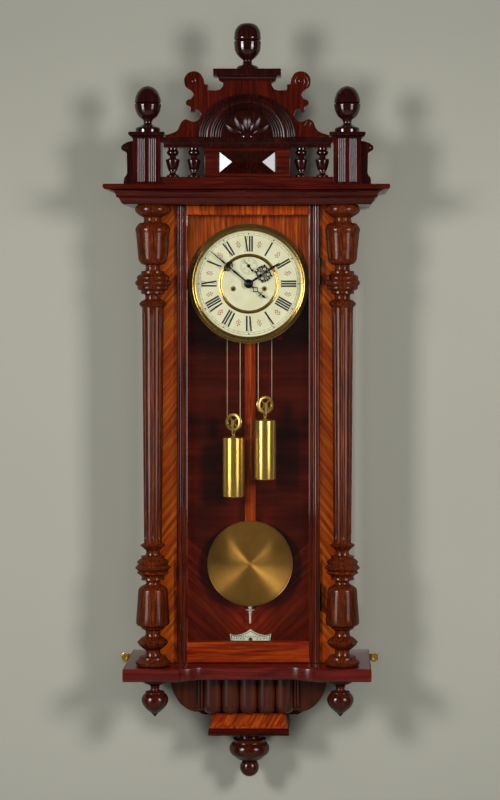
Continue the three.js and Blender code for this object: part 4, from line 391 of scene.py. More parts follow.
def smoothed(points, steps=4, corner=42):
    """A curve through points, straight on long runs and sharp where it turns past corner degrees."""
    points = [Vector(p) for p in points]
    kept = [points[0]]
    for p in points[1:]:
        if (p - kept[-1]).length > SAME_PLACE:
            kept.append(p)
    points = kept
    count = len(points)
    lines = [(points[i + 1] - points[i]) for i in range(count - 1)]
    arriving = [None] * count
    leaving = [None] * count
    for i in range(count):
        before = lines[i - 1] if i else None
        after = lines[i] if i < count - 1 else None
        if before is None or after is None or before.angle(after) > math.radians(corner):
            arriving[i] = before.normalized() if before else None
            leaving[i] = after.normalized() if after else None
        elif after.length > LONG_RUN * before.length:
            arriving[i] = leaving[i] = after.normalized()
        elif before.length > LONG_RUN * after.length:
            arriving[i] = leaving[i] = before.normalized()
        else:
            direction = before.normalized() * after.length + after.normalized() * before.length
            arriving[i] = leaving[i] = direction.normalized()
    result = [points[0]]
    for i, line in enumerate(lines):
        reach = line.length
        for step in range(1, steps + 1):
            t = step / steps
            a, b = 2 * t**3 - 3 * t**2 + 1, t**3 - 2 * t**2 + t
            c, d = -2 * t**3 + 3 * t**2, t**3 - t**2
            first = a * points[i] + b * reach * leaving[i]
            result.append(first + c * points[i + 1] + d * reach * arriving[i + 1])
    return result


def lathe(name, profile, material, centre=(0, 0), facing=False, segments=64, ripple=None, **options):
    """A turned piece from (radius, height) pairs in metres, upright, or facing the viewer along Y."""
    verts = []
    for r, h in profile:
        for angle in around(segments):
            radius = r - (ripple(h, angle) if ripple else 0)
            a, b = radius * math.cos(angle), radius * math.sin(angle)
            verts.append((centre[0] + a, h, centre[1] + b) if facing else (centre[0] + a, centre[1] + b, h))
    faces = bands(len(profile), segments)
    if (Vector(profile[0]) - Vector(profile[-1])).length >= SAME_PLACE:
        faces += end_faces(len(profile), segments)
    return build(name, verts, faces, material, weld=WELD_REACH, **options)


def faced(name, profile, material, centre=(0, 0), **options):
    """A turned piece facing the viewer, from (radius, depth) pairs in millimetres."""
    return lathe(name, metres(profile), material, (centre[0] * MM, centre[1] * MM), facing=True, **options)


def turned_profile(name):
    """(radius, height) pairs of an upright turned CAD node, from the bottom, and its axis."""
    low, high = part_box(name)
    x, y = (low.x + high.x) / 2, (low.y + high.y) / 2
    levels = {}
    for vertex in nodes[name].data.vertices:
        key = round(vertex.co.z, 4)
        levels[key] = max(levels.get(key, 0), math.hypot(vertex.co.x - x, vertex.co.y - y))
    return [(radius, z) for z, radius in sorted(levels.items())], (x, y)


def ring_skin(name, rings, material, **options):
    """A closed skin through rings of equal count."""
    size = (len(rings), len(rings[0]))
    return build(name, sum(rings, []), end_faces(*size) + bands(*size), material, **options)


def upright_prism(name, outline, low, high, material, **options):
    """An outline in X and Y, in millimetres, drawn out between two heights."""
    rings = [[at_mm(x, y, z) for x, y in outline] for z in (low, high)]
    return ring_skin(name, rings, material, **options)


def facing_prism(name, outline, front, back, material, **options):
    """An outline in X and Z, in millimetres, drawn out between two depths."""
    rings = [[at_mm(x, y, z) for x, z in outline] for y in (front, back)]
    return ring_skin(name, rings, material, **options)


def box_slab(name, left, right, front, back, low, high, material, edge=0.6, **options):
    outline = [(left, front), (right, front), (right, back), (left, back)]
    return bevelled(upright_prism(name, outline, low, high, material, **options), edge)


def mould(name, profile, half_width, front, back, material, wrap=False, **options):
    """A moulding of (overhang, height) pairs round the front and ends of a board, or round all four edges."""
    rings = []
    for out, z in profile:
        x, y = half_width + out, front - out
        rear = back + out if wrap else back
        rings.append([at_mm(*p) for p in ((-x, y, z), (x, y, z), (x, rear, z), (-x, rear, z))])
    return ring_skin(name, rings, material, **options)


def tube(name, points, radius, material, sides=8, closed=False, flat=1.0, **options):
    """A round rod along points in millimetres, with one radius or a list of one for each point."""
    path = [at_mm(*p) for p in points]
    radii = [r * MM for r in (radius if isinstance(radius, list) else [radius] * len(path))]
    rings = []
    previous = Vector((0.31, 0.83, 0.46))
    count = len(path)
    for i, point in enumerate(path):
        ahead = path[(i + 1) % count] if closed else path[min(i + 1, count - 1)]
        behind = path[i - 1] if closed or i else path[0]
        along = (ahead - behind).normalized()
        side = previous - along * previous.dot(along)
        if side.length < 1e-4:
            side = along.orthogonal()
        side.normalize()
        previous = side
        other = along.cross(side)
        rings.append([
            point + (side * math.cos(t) + other * math.sin(t) * flat) * radii[i] for t in around(sides)
        ])
    if closed:
        return build(name, sum(rings, []), bands(count, sides, True), material, **options)
    return ring_skin(name, rings, material, **options)


def joined(name, pieces, body, slot, replaces=()):
    """Pieces of one material as one object."""
    keeper = pieces[0]
    work = bmesh.new()
    for piece in pieces:
        work.from_mesh(piece.data)
    work.to_mesh(keeper.data)
    work.free()
    keeper.name = name
    for piece in pieces[1:]:
        bpy.data.objects.remove(piece)
    return place(keeper, body, slot, replaces)


def finish_node(name, *materials, edge=0.0):
    """A carried-over CAD node with its finish, and its sharp edges eased."""
    made = nodes[name]
    made.data.materials.clear()
    for material in materials:
        made.data.materials.append(material)
    made.data.polygons.foreach_set("material_index", [0] * len(made.data.polygons))
    if edge:
        bevelled(made, edge)
    return made


def arc(cx, cz, radius, start, end, steps):
    turns = [start + (end - start) * i / steps for i in range(steps + 1)]
    return [(cx + radius * math.cos(t), cz + radius * math.sin(t)) for t in turns]


# Case
CORNICE_FOOT, CORNICE_HALF, CORNICE_FRONT = 135.3, 211.5, -199
PLANK_FOOT, PLANK_TOP, PLANK_ROUNDING = -677.7, -655, 3.0
PLANK_FRONT, PLANK_HALF = -200, 211.7
BLOCK_HALF, SWEEP_HALF = 115.7, 69.7
BACKBOARD_HALF, BACKBOARD_FACE = 165.3, -14.3

finish_node("backboard", back_veneer, edge=0.8)
finish_node("hanger_plate", brass_plain, edge=0.3)
for side in ("right", "left"):
    finish_node("case_side_" + side, face_veneer, edge=0.7)
    finish_node("side_glass_" + side, glass)
    finish_node("leveller_bracket_" + side, brass_plain, edge=0.6)
finish_node("door_glass", glass)
finish_node("dial_mask", dial_veneer, edge=0.5)
finish_node("movement_seat", walnut_across, edge=0.6)


def case_top_moulding():
    """Cornice: fillets, a cove and an ovolo under a plain fascia."""
    outline = smoothed(raised(CORNICE_FOOT, (
        (0, 0), (0, 1.4), (1.2, 1.4), (2.8, 4.2), (5.2, 9.2), (5.9, 10.4), (9.6, 11.2), (10.5, 15.4),
        (13, 19.6), (17.4, 22.6), (23.2, 24.2), (28.8, 24.8), (28.8, 26.2), (30.4, 26.6), (31, 27.6),
        (31, 32.3), (29.8, 33.5),
    )), 4, 36)
    mould(
        "cornice_moulding", outline, CORNICE_HALF, CORNICE_FRONT, 0, walnut_across, slot="walnut",
        replaces=("cornice",), angle=26,
    )


def plank_edge(inset):
    """The plank's outline in X and Y: end blocks, a swept and slightly bowed middle, a notch at the back."""
    front, end = PLANK_FRONT + inset, PLANK_HALF - inset
    stepped, swept = front + 6, front + 24
    middle = (BLOCK_HALF + SWEEP_HALF) / 2
    half = [(end, 0.0), (end, front), (BLOCK_HALF, front), (BLOCK_HALF, stepped)]
    for i in range(1, 15):
        t = i / 14
        a, b, c, d = (1 - t) ** 3, 3 * (1 - t) ** 2 * t, 3 * (1 - t) * t * t, t**3
        x = a * BLOCK_HALF + b * middle + c * middle + d * SWEEP_HALF
        half.append((x, a * stepped + b * stepped + c * swept + d * swept))
    for i in range(1, 10):
        x = SWEEP_HALF * (1 - i / 10)
        half.append((x, swept - 3 * (1 - (x / SWEEP_HALF) ** 2)))
    notch = [(BACKBOARD_HALF, BACKBOARD_FACE), (BACKBOARD_HALF, 0)]
    return [
        *half, (0.0, swept - 3), *((-x, y) for x, y in reversed(half)),
        *((-x, y) for x, y in reversed(notch)), *notch,
    ]


def plank():
    levels = []
    for turn in (0, 0.5, 1.0, math.pi / 2):
        inset, rise = PLANK_ROUNDING * (1 - math.sin(turn)), PLANK_ROUNDING * (1 - math.cos(turn))
        levels.append((inset, PLANK_FOOT + rise))
    levels += [(inset, PLANK_TOP - (z - PLANK_FOOT)) for inset, z in reversed(levels)]
    rings = [[at_mm(x, y, z) for x, y in plank_edge(inset)] for inset, z in levels]
    ring_skin("plank", rings, plank_wood, slot="walnut", replaces=("base_plank",), angle=30)


RIDGE_SLOPE = 0.42
STILE_RIDGES = ((2.6, 0.45), (6.8, 1.0), (10.6, 0.3), (16.6, 0.2))
STILE_GROOVE = 1.6
DOOR_FOOT, DOOR_TOP = -654.1, 134.4
DOOR_FACE, DOOR_BACK = -143.9, -128
DOOR_HALF, OPENING_HALF, RAIL_HALF = 123.4, 105.0, 105.2
KNUCKLE_X, KNUCKLE_Y, KNUCKLE_PITCH = 124, -146, 9.2
HINGE_FEET = (("low", -564.1), ("high", -1.6))


def ridged(ridges, level, groove):
    """A face from left to right at a level, with ridges of (place, width) and the gaps between them sunk."""
    points = []
    for centre, width in ridges:
        half, foot = width / 2, level + width / 2 * RIDGE_SLOPE
        points += [(centre - half - 0.05, level + groove), (centre - half, foot), (centre, level)]
        points += [(centre + half, foot), (centre + half + 0.05, level + groove)]
    return points


def door_rail(name, front, back, material):
    """A rail between the stiles, from the edge of its front and the heights of its back."""
    section = [*front, *((DOOR_BACK, z) for z in back)]
    ends = [[at_mm(x, y, z) for y, z in section] for x in (-RAIL_HALF, RAIL_HALF)]
    ring_skin(name, ends, material, body="door", slot="walnut", angle=40)


def door():
    """Reeded stiles between plain rails, with the two hinge knuckles."""
    low, high = DOOR_FOOT, DOOR_TOP
    ridges = [(DOOR_HALF - place, width) for place, width in reversed(STILE_RIDGES)]
    outline = [(DOOR_HALF, DOOR_FACE + 1), (DOOR_HALF, DOOR_BACK), (OPENING_HALF, DOOR_BACK)]
    outline += [(OPENING_HALF, DOOR_FACE + 1), *ridged(ridges, DOOR_FACE, STILE_GROOVE)]
    mirrored = [(-x, y) for x, y in reversed(outline)]
    stiles = [upright_prism("stile", half, low, high, stile_wood, angle=20) for half in (outline, mirrored)]
    joined("door_stiles", stiles, "door", "walnut", ("door_frame",))
    bottom = [(-141.2, low), (DOOR_FACE, low + 1.2), (DOOR_FACE, low + 33)]
    bottom += [(-143.0, low + 34.6), (-140.6, low + 36)]
    door_rail("door_bottom_rail", smoothed(bottom, 3), (low + 36, low), walnut_red)
    top = [(-140.6, high - 16), (-143.0, high - 14.6), (DOOR_FACE, high - 13), (DOOR_FACE, high)]
    door_rail("door_top_rail", smoothed(top, 3), (high, high - 16), dial_veneer)
    for name, z in HINGE_FEET:
        barrel = []
        for i in range(5):
            barrel += raised(z + i * KNUCKLE_PITCH, ((2.0, 0.2), (2.6, 0.6), (2.6, 8.4), (2.0, 8.8)))
        profile = [(AXIS, z * MM), *metres(barrel), (AXIS, (z + 5 * KNUCKLE_PITCH) * MM)]
        lathe(
            "hinge_" + name, profile, old_brass, (KNUCKLE_X * MM, KNUCKLE_Y * MM), segments=20, body="door",
            slot="brass",
        )


NECK_SHARE = 0.56
NECK_LENGTH = 4.2
COVE_DEPTH = 0.11
TURNED_CORNER = 66


def coved(profile):
    """The profile with its straight narrow necks hollowed to coves."""
    widest = max(r for r, z in profile)
    result = [profile[0]]
    for (r0, z0), (r1, z1) in zip(profile, profile[1:]):
        rise = z1 - z0
        if max(r0, r1) < NECK_SHARE * widest and NECK_LENGTH * MM < rise < widest:
            for t in (i / 6 for i in range(1, 6)):
                hollow = COVE_DEPTH * rise * math.sin(math.pi * t)
                result.append((r0 + (r1 - r0) * t - hollow, z0 + rise * t))
        result.append((r1, z1))
    return result


def turned_piece(name, material, slot="walnut", ball=0):
    """A turned CAD node with finer curves, and a true ball below the given point of its profile."""
    profile, axis = turned_profile(name)
    if ball:
        neck, top = profile[ball]
        widest, low = max(r for r, z in profile[:ball]), profile[0][1]
        stop = math.acos(neck / widest)
        half = (top - low) / (1 + math.sin(stop))
        turns = [-math.pi / 2 + (stop + math.pi / 2) * i / 20 for i in range(20)]
        globe = [(max(SAME_PLACE, widest * math.cos(t)), low + half * (1 + math.sin(t))) for t in turns]
        profile = globe + profile[ball:]
    lathe(
        name + "_turned", smoothed(coved(profile), 4, TURNED_CORNER), material, axis, segments=72,
        slot=slot, replaces=(name,), angle=40,
    )


SHAFT_FOOT_RADIUS = 15.4
SHAFT_HEAD_RADIUS = 18.6
FLUTE_COUNT = 8
FLUTE_DEPTH = 2.1
FLUTE_HALF_SHARE = 0.24
FLUTE_MARGIN = 4
FLUTE_RUNOUT = 6


def column(side):
    """A turned base and capital on a shaft with eight round-bottomed flutes."""
    name = "column_" + side
    profile, axis = turned_profile(name)
    longest = max(range(len(profile) - 1), key=lambda i: profile[i + 1][1] - profile[i][1])
    base, capital = profile[:longest + 1], profile[longest + 1:]
    low, high = base[-1][1], capital[0][1]
    start, stop = SHAFT_FOOT_RADIUS * MM, SHAFT_HEAD_RADIUS * MM
    low_end, high_end = low + FLUTE_MARGIN * MM, high - FLUTE_MARGIN * MM

    def ripple(h, angle):
        ease = min(1, (h - low_end) / (FLUTE_RUNOUT * MM), (high_end - h) / (FLUTE_RUNOUT * MM))
        if ease <= 0:
            return 0
        phase = (angle / (2 * math.pi) * FLUTE_COUNT + 0.5) % 1 - 0.5
        inside = max(0, 1 - (phase / FLUTE_HALF_SHARE) ** 2)
        return FLUTE_DEPTH * MM * math.sqrt(inside) * ease

    heights = [low + (high - low) * i / 30 for i in range(1, 30)]
    for share in (0, 0.33, 0.67, 1):
        inward = FLUTE_MARGIN + share * FLUTE_RUNOUT
        heights += [low + inward * MM, high - inward * MM]
    shaft = [Vector((start + (stop - start) * (z - low) / (high - low), z)) for z in sorted(heights)]
    whole = smoothed(coved(base), 4, TURNED_CORNER) + shaft + smoothed(coved(capital), 4, TURNED_CORNER)
    lathe(
        name + "_turned", whole, column_wood, axis, segments=160, ripple=ripple, slot="walnut",
        replaces=(name,), angle=40,
    )


case_top_moulding()
plank()
door()
for side in ("right", "left"):
    column(side)
    turned_piece("drop_finial_" + side, turned_wood)
    turned_piece("side_finial_" + side, ebonised, slot="ebonised")
turned_piece("top_finial", ebonised, slot="ebonised")
turned_piece("bottom_finial", turned_wood, ball=5)


# Gallery and crest
CREST_Y = -172
SILL = 169.1
POST_X, POST_HALF, POST_TOP = 170.8, 23.8, 250.1
POST_RIDGES, POST_RIDGE_WIDTH = (-5.1, -1.7, 1.7, 5.1), 0.5
EAR_HEIGHT, EAR_REACH, EAR_HALF = 81.0, 21.5, 8
RAIL_FRONT, RAIL_REAR = -190, -154
LOWER_RAIL_HALF, LOWER_RAIL_HEIGHT = 146.7, 13.4
UPPER_RAIL_HALF, UPPER_RAIL_FOOT = 142.7, 232.1
BALUSTER_RADIUS, BALUSTER_HEIGHT = 12, 49.3
BALUSTER_PLACES = (-128, -92, 92, 128)
TABLET_HALF, TABLET_FRONT, TABLET_REAR = 73.2, -187, -157
TABLET_FOOT, TABLET_TOP = 182.8, 231.8
CREST_BASE = 250.4
CAP_FOOT, CAP_HALF, CAP_FRONT, CAP_REAR = 347.7, 48.8, -189, -155


def corner_post(side):
    """Post with two groups of four narrow ridges, a moulded cap and a scrolled ear."""
    sign = 1 if side == "right" else -1
    half, centre = POST_HALF, sign * POST_X

    def squares(profile):
        return [
            [at_mm(centre + u * (half + out), CREST_Y + v * (half + out), z) for u, v in CORNERS]
            for out, z in profile
        ]

    left, right = [
        ridged([(group + place, POST_RIDGE_WIDTH) for place in POST_RIDGES], -half, 2.0)
        for group in (-9.5, 9.5)
    ]
    outline = [(-half + 0.8, -half), (-15.7, -half), *left, (-3.3, -half)]
    outline += [(3.3, -half), *right, (15.7, -half), (half - 0.8, -half)]
    outline += [(half, -half + 0.8), (half, half), (-half, half), (-half, -half + 0.8)]
    outline = [(centre + x, CREST_Y + y) for x, y in outline]
    shaft = upright_prism("shaft", outline, SILL, POST_TOP + 0.4, post_wood, angle=20)
    plinth = raised(SILL, ((0, 0), (1.6, 0), (1.6, 3.4), (0.6, 4.6), (0, 4.8)))
    foot = ring_skin("foot", squares(plinth), post_wood)
    profile = raised(POST_TOP, (
        (0, -3), (1.2, -2.4), (1.6, 0), (3.6, 0.4), (5.6, 2.2), (7, 3.2), (7, 7.0), (5.8, 8.5),
    ))
    cap = ring_skin("cap", squares(smoothed(profile, 3, 40)), ebonised, angle=30)
    shares = (
        (0, 0.93), (0.36, 0.915), (0.7, 0.875), (0.95, 0.82), (1, 0.78), (0.95, 0.74), (0.7, 0.7),
        (0.55, 0.66), (0.52, 0.28), (0.6, 0.2), (0.72, 0.16), (0.8, 0.04), (0.8, 0.0), (0, 0.0),
    )
    edge = centre + sign * (half - 0.3)
    ear = smoothed([(u * EAR_REACH, v * EAR_HEIGHT) for u, v in shares], 3, 50)
    ear = [(edge + sign * p.x, SILL + p.y) for p in ear]
    flap = facing_prism("ear", ear, CREST_Y - EAR_HALF, CREST_Y + EAR_HALF, ebonised, angle=30)
    name = "corner_post_" + side
    joined(name + "_fluted", [shaft, foot], "case", "ebonised", (name,))
    joined(name + "_cap", [bevelled(cap, 0.3), flap], "case", "ebonised")
    curl = []
    for i in range(15):
        turn, reach = 0.62 * i - 0.6, 5.2 - 0.32 * i
        x = edge + sign * (EAR_REACH * 0.66 + reach * math.cos(turn))
        curl.append((x, CREST_Y - EAR_HALF, SILL + EAR_HEIGHT * 0.79 + reach * math.sin(turn)))
    tube(name + "_curl", curl, [1.0 - 0.04 * i for i in range(15)], ebonised, slot="ebonised")


def balustrade():
    """Moulded lower rail and four turned balusters."""
    base = SILL + LOWER_RAIL_HEIGHT
    rail = mould(
        "gallery_lower_rail", [(0, SILL), (0, base)], LOWER_RAIL_HALF, RAIL_FRONT, RAIL_REAR, walnut_mid,
        wrap=True, slot="walnut", replaces=("gallery_balustrade",),
    )
    bevelled(rail, 0.8)
    shares = (
        (0.86, -0.006), (0.9, 0.03), (0.86, 0.06), (0.6, 0.09), (0.4, 0.16), (0.42, 0.2), (0.62, 0.22),
        (0.62, 0.25), (0.7, 0.28), (0.86, 0.42), (1, 0.56), (1, 0.58), (0.93, 0.62), (0.6, 0.65),
        (0.45, 0.68), (0.42, 0.72), (0.62, 0.76), (0.84, 0.82), (0.84, 0.88), (0.6, 0.94), (0.68, 0.955),
        (0.68, 1),
    )
    profile = smoothed(metres([(BALUSTER_RADIUS * r, base + BALUSTER_HEIGHT * h) for r, h in shares]), 3, 46)
    turned = [
        lathe("baluster", profile, ebonised, (x * MM, CREST_Y * MM), segments=48, angle=36)
        for x in BALUSTER_PLACES
    ]
    joined("balusters", turned, "case", "ebonised")


def upper_rail():
    outline = raised(UPPER_RAIL_FOOT, (
        (0, 0), (0, 6.6), (0.9, 7.4), (1.6, 8.8), (4, 9.4), (4, 16.6), (3, 18),
    ))
    rail = mould(
        "upper_rail_moulding", smoothed(outline, 3, 38), UPPER_RAIL_HALF, RAIL_FRONT, RAIL_REAR, ebonised,
        wrap=True, slot="ebonised", replaces=("gallery_upper_rail",), angle=30,
    )
    bevelled(rail, 0.4)


def tablet():
    """Block with a sunk border round a hipped diamond."""
    box_slab(
        "tablet_block", -TABLET_HALF, TABLET_HALF, TABLET_FRONT, TABLET_REAR, TABLET_FOOT, TABLET_TOP,
        walnut_mid, edge=0.8, slot="walnut", replaces=("gallery_tablet",),
    )
    middle = (TABLET_FOOT + TABLET_TOP) / 2
    levels = (
        (49.6, 19.6, 0.2), (49.6, 19.6, -1.2), (47.9, 17.9, -1.2), (47.5, 17.5, -0.3), (47, 17, -1.0),
        (26, 0.2, -9.6),
    )
    rings = [[at_mm(u * x, TABLET_FRONT + y, middle + v * z) for u, v in CORNERS] for x, z, y in levels]
    bevelled(ring_skin("tablet_diamond", rings, ebonised, slot="walnut", angle=20), 0.25)


SCROLL_X = 91.4
SCROLL_Z = 95.7
SCROLL_RADIUS = 16.9
PEDIMENT_HALF, PEDIMENT_HEIGHT = 139.7, 97.0
PEDIMENT_FRONT, PEDIMENT_REAR = -183, -161
SCROLL_EYE = ((AXIS, -0.1842), (0.0018, -0.1841), (0.003, -0.1836), (0.0034, -0.183), (0.0034, -0.1826))
LEAF_VEINS = ((109, 26, 96, 8), (115, 20, 105, 5), (102, 28, 88, 12))


def pediment_outline():
    """Right half of the pediment's edge, from the foot up to the cap, in millimetres from its base."""
    width, height = PEDIMENT_HALF, PEDIMENT_HEIGHT

    def edge(steps, corner, pairs):
        return smoothed([(u * width, v * height) for u, v in pairs], steps, corner)

    foot = edge(3, 60, (
        (1, 0.035), (0.92, 0.07), (0.87, 0.105), (0.842, 0.15), (0.825, 0.21), (0.79, 0.292),
        (0.745, 0.315), (0.722, 0.3),
    ))
    bay = arc(0.6575 * width, 0.393 * height, 0.085 * width, -0.3 * math.pi, -1.3 * math.pi, 14)
    hook = edge(3, 60, (
        (0.64, 0.495), (0.652, 0.447), (0.698, 0.447), (0.702, 0.54), (0.745, 0.575), (0.752, 0.61),
        (0.735, 0.65), (0.69, 0.675), (0.662, 0.73), (0.67, 0.79), (0.735, 0.865),
    ))
    scroll = arc(SCROLL_X, SCROLL_Z, SCROLL_RADIUS, -0.2 * math.pi, 0.75 * math.pi, 16)
    notch = edge(2, 40, (
        (0.538, 1.03), (0.525, 0.93), (0.483, 0.93), (0.483, 0.828), (0.4, 0.823), (0.335, 0.84),
        (0.3, 0.9), (0.3, 0.96), (0.335, 0.99),
    ))
    points = [tuple(p) for part in (foot, bay, hook, scroll, notch) for p in part]
    return [(width, 0.0), *points, (CAP_HALF, height)]


def pediment():
    """Sawn board with carved volutes and veins on its leaves."""
    right = []
    for p in pediment_outline():
        if not right or math.dist(p, right[-1]) > 0.3:
            right.append(p)
    outline = [(x, z + CREST_BASE) for x, z in right + [(-x, z) for x, z in reversed(right)]]
    board = facing_prism(
        "pediment_board", outline, PEDIMENT_FRONT, PEDIMENT_REAR, walnut, slot="walnut",
        replaces=("pediment",), angle=28,
    )
    bevelled(board, 1.1, 3, 32)
    carved = []
    for sign in (-1, 1):
        cx, cz = sign * SCROLL_X, SCROLL_Z + CREST_BASE
        coil = []
        for i in range(26):
            reach, turn = 13.4 - 0.42 * i, 0.42 * i - 0.75
            x, z = cx + sign * reach * math.cos(turn), cz + reach * math.sin(turn)
            coil.append((x, PEDIMENT_FRONT - 0.02 * i, z))
        carved.append(tube("volute", coil, [0.9 - 0.015 * i for i in range(26)], walnut, flat=0.9))
        eye = smoothed(SCROLL_EYE, 3)
        carved.append(lathe("eye", eye, walnut, (cx * MM, cz * MM), facing=True, segments=24))
        for x0, z0, x1, z1 in LEAF_VEINS:
            vein = []
            for t in (i / 8 for i in range(9)):
                x = sign * (x0 + (x1 - x0) * t + 2.5 * math.sin(math.pi * t))
                vein.append((x, PEDIMENT_FRONT - 0.1, CREST_BASE + z0 + (z1 - z0) * t))
            radii = [0.2 + 0.5 * math.sin(math.pi * i / 8) for i in range(9)]
            carved.append(tube("vein", vein, radii, walnut, 6))
    joined("pediment_carving", carved, "case", "walnut")


ARCH_BACK = -183.3
ARCH_RADII, ARCH_DEPTHS = (82.6, 73.6), (39.1, 28.6)
ARCH_REEDS = (
    (0.0, 0.1, 7.4, 9.0), (0.1, 0.2, 6.4, 8.4), (0.2, 0.3, 4.2, 5.8), (0.3, 0.56, 3.6, 5.0),
    (0.56, 0.68, 3.4, 6.4), (0.68, 0.8, 2.8, 5.6), (0.8, 0.9, 2.6, 5.4), (0.9, 1.0, 3.6, 6.6),
)
PETAL_COUNT, PETAL_START, PETAL_LENGTH, PETAL_HALF = 7, 11.5, 31.0, 8.2
BOSS_RADIUS, BOSS_HEIGHT = 10.5, 5.4


def half_turn(steps):
    """Angles from right to left over the top, both ends included."""
    return [math.pi * i / steps for i in range(steps + 1)]


def petal(angle):
    """A pointed petal with a ridge along its middle, on a flat base."""
    verts, faces = [], []
    for t in (i / 12 for i in range(13)):
        half = PETAL_HALF * (math.sin(math.pi * t**0.75) ** 0.8) * (0.55 + 0.45 * t) + 0.15
        arched = math.sin(math.pi * min(1, t * 0.9 + 0.08)) ** 0.6
        for s in (-1 + j / 4 for j in range(9)):
            rise = (1.2 + 0.42 * half * (1 - abs(s)) + 0.5 * (1 - s * s)) * arched
            along, across = PETAL_START + PETAL_LENGTH * t, half * s
            x = along * math.cos(angle) - across * math.sin(angle)
            z = along * math.sin(angle) + across * math.cos(angle)
            verts.append(at_mm(x, ARCH_BACK - 1.4 - max(0.02, rise), CREST_BASE + max(0.05, z)))
    for i in range(12):
        for a in range(i * 9, i * 9 + 8):
            faces.append((a, a + 1, a + 10, a + 9))
    rim = [*range(9), *(i * 9 + 8 for i in range(1, 13)), *(12 * 9 + j for j in range(7, -1, -1))]
    rim += [i * 9 for i in range(11, 0, -1)]
    floor = len(verts)
    for index in rim:
        verts.append(Vector((verts[index].x, (ARCH_BACK - 0.4) * MM, verts[index].z)))
    for n, index in enumerate(rim):
        m = (n + 1) % len(rim)
        faces.append((index, rim[m], floor + m, floor + n))
    faces.append(tuple(range(floor, floor + len(rim))))
    return build("petal", verts, faces, fan_wood, angle=60)


def arch():
    """Half-round run of reeds round a carved fan of pointed petals."""
    section = [(0, 0)]
    for start, stop, floor, top in ARCH_REEDS:
        for t in (k / 6 for k in range(7)):
            across = start + (stop - start) * (0.03 + 0.94 * t)
            section.append((across, floor + (top - floor) * math.sin(math.pi * t) ** 0.6))
    section.append((1, 0))
    rings = []
    for angle in half_turn(56):
        ring = []
        for across, rise in section:
            a, b = [radius - depth * across for radius, depth in zip(ARCH_RADII, ARCH_DEPTHS)]
            ring.append(at_mm(a * math.cos(angle), ARCH_BACK - rise, CREST_BASE + b * math.sin(angle)))
        rings.append(ring)
    ring_skin("arch_reeds", rings, fan_wood, slot="ebonised", replaces=("arch_moulding",), angle=35)
    disc = [(43.9 * math.cos(t), CREST_BASE + 45.4 * math.sin(t)) for t in half_turn(40)]
    facing_prism("fan_ground", disc, ARCH_BACK - 1.6, ARCH_BACK, ebonised, slot="ebonised")
    petals = [petal(math.pi * k / (PETAL_COUNT - 1)) for k in range(PETAL_COUNT)]
    joined("fan_petals", petals, "case", "ebonised")
    boss = []
    for t in (level / 6 * math.pi / 2 for level in range(7)):
        reach, lift = (BOSS_RADIUS * math.cos(t), 0.02) if t < math.pi / 2 else (0.05, 0.03)
        y, z = ARCH_BACK - 1.2 - BOSS_HEIGHT * math.sin(t), CREST_BASE + lift
        boss.append([at_mm(reach * math.cos(a), y, z + reach * math.sin(a)) for a in half_turn(20)])
    ring_skin("fan_boss", boss, ebonised, slot="ebonised", angle=50)


def cap():
    outline = raised(CAP_FOOT, (
        (0, 0), (0, 2.2), (1.0, 3.4), (1.8, 5.4), (3.4, 6.2), (8.2, 6.8), (9, 7.4), (9, 17.0), (8, 18.6),
    ))
    block = mould(
        "cap_moulding", smoothed(outline, 3, 40), CAP_HALF, CAP_FRONT, CAP_REAR, ebonised, wrap=True,
        slot="ebonised", replaces=("pediment_cap",), angle=30,
    )
    bevelled(block, 0.4)


for side in ("right", "left"):
    corner_post(side)
balustrade()
upper_rail()
tablet()
pediment()
arch()
cap()


# Below the plank
APRON_HALF, APRON_FACE = 88.6, -122
APRON_FOOT, APRON_TOP = -747, -678
LOBE_ROLL = 17
LOBE_LIFT = 8
WING_OUTER, WING_INNER = 137, 87
WING_FRONT, WING_REAR = -119, -88
WING_TOP, WING_DROP = -678.2, 66
FOOT_HALF, FOOT_FRONT = 64.8, -112.6
FOOT_BASE = -785.3
LEVELLER_X, LEVELLER_Z = 219.5, -662


def apron():
    """Five round lobes between pairs of beads, with domed ends, and a curved wing at each side."""
    widths = [(5.3, 2.65)] * 2 + [(31.2, 13)] * 5 + [(5.3, 2.65)] * 2

    def outline(shrink, lift):
        """Points of X, depth and height, the joints between lobes lifted above the middles."""
        points, x = [], -APRON_HALF
        for width, bulge in widths:
            steps = 18 if width > 6 else 7
            for a in (math.pi * i / steps for i in range(steps)):
                rise = lift * (1 - math.sin(a)) if width > 6 else lift * 0.6
                depth = APRON_FACE - bulge * math.sin(a) ** 0.9 + shrink
                points.append((x + width / 2 * (1 - math.cos(a)), depth, rise))
            x += width
        points.append((APRON_HALF, APRON_FACE + shrink, lift))
        return points + [(APRON_HALF, BACKBOARD_FACE, lift), (-APRON_HALF, BACKBOARD_FACE, lift)]

    rings = []
    for a in (math.pi / 2 * i / 12 for i in range(13)):
        shrink, rise = LOBE_ROLL * (1 - math.sin(a)), LOBE_ROLL * (1 - math.cos(a))
        rings.append((outline(shrink, LOBE_LIFT), APRON_FOOT + rise))
    rings.append((outline(0, 0), APRON_TOP))
    skin = [[at_mm(x, y, z + rise) for x, y, rise in ring] for ring, z in rings]
    ring_skin("apron_lobes", skin, lobe_wood, slot="walnut", replaces=("apron",), angle=32)
    for sign, side in ((-1, "left"), (1, "right")):
        edge = [
            (WING_INNER + (x - WING_INNER) * (WING_OUTER - WING_INNER), WING_TOP + (z - WING_TOP) * WING_DROP)
            for x, z in arc(WING_INNER, WING_TOP, 1, 0, -math.pi / 2, 20)
        ]
        face = [(sign * x, z) for x, z in [*edge, (WING_INNER, WING_TOP)]]
        wing = facing_prism(
            "apron_wing_" + side, face, WING_FRONT, WING_REAR, lobe_wood, slot="walnut", angle=30
        )
        bevelled(wing, 3.0, 4, 50)


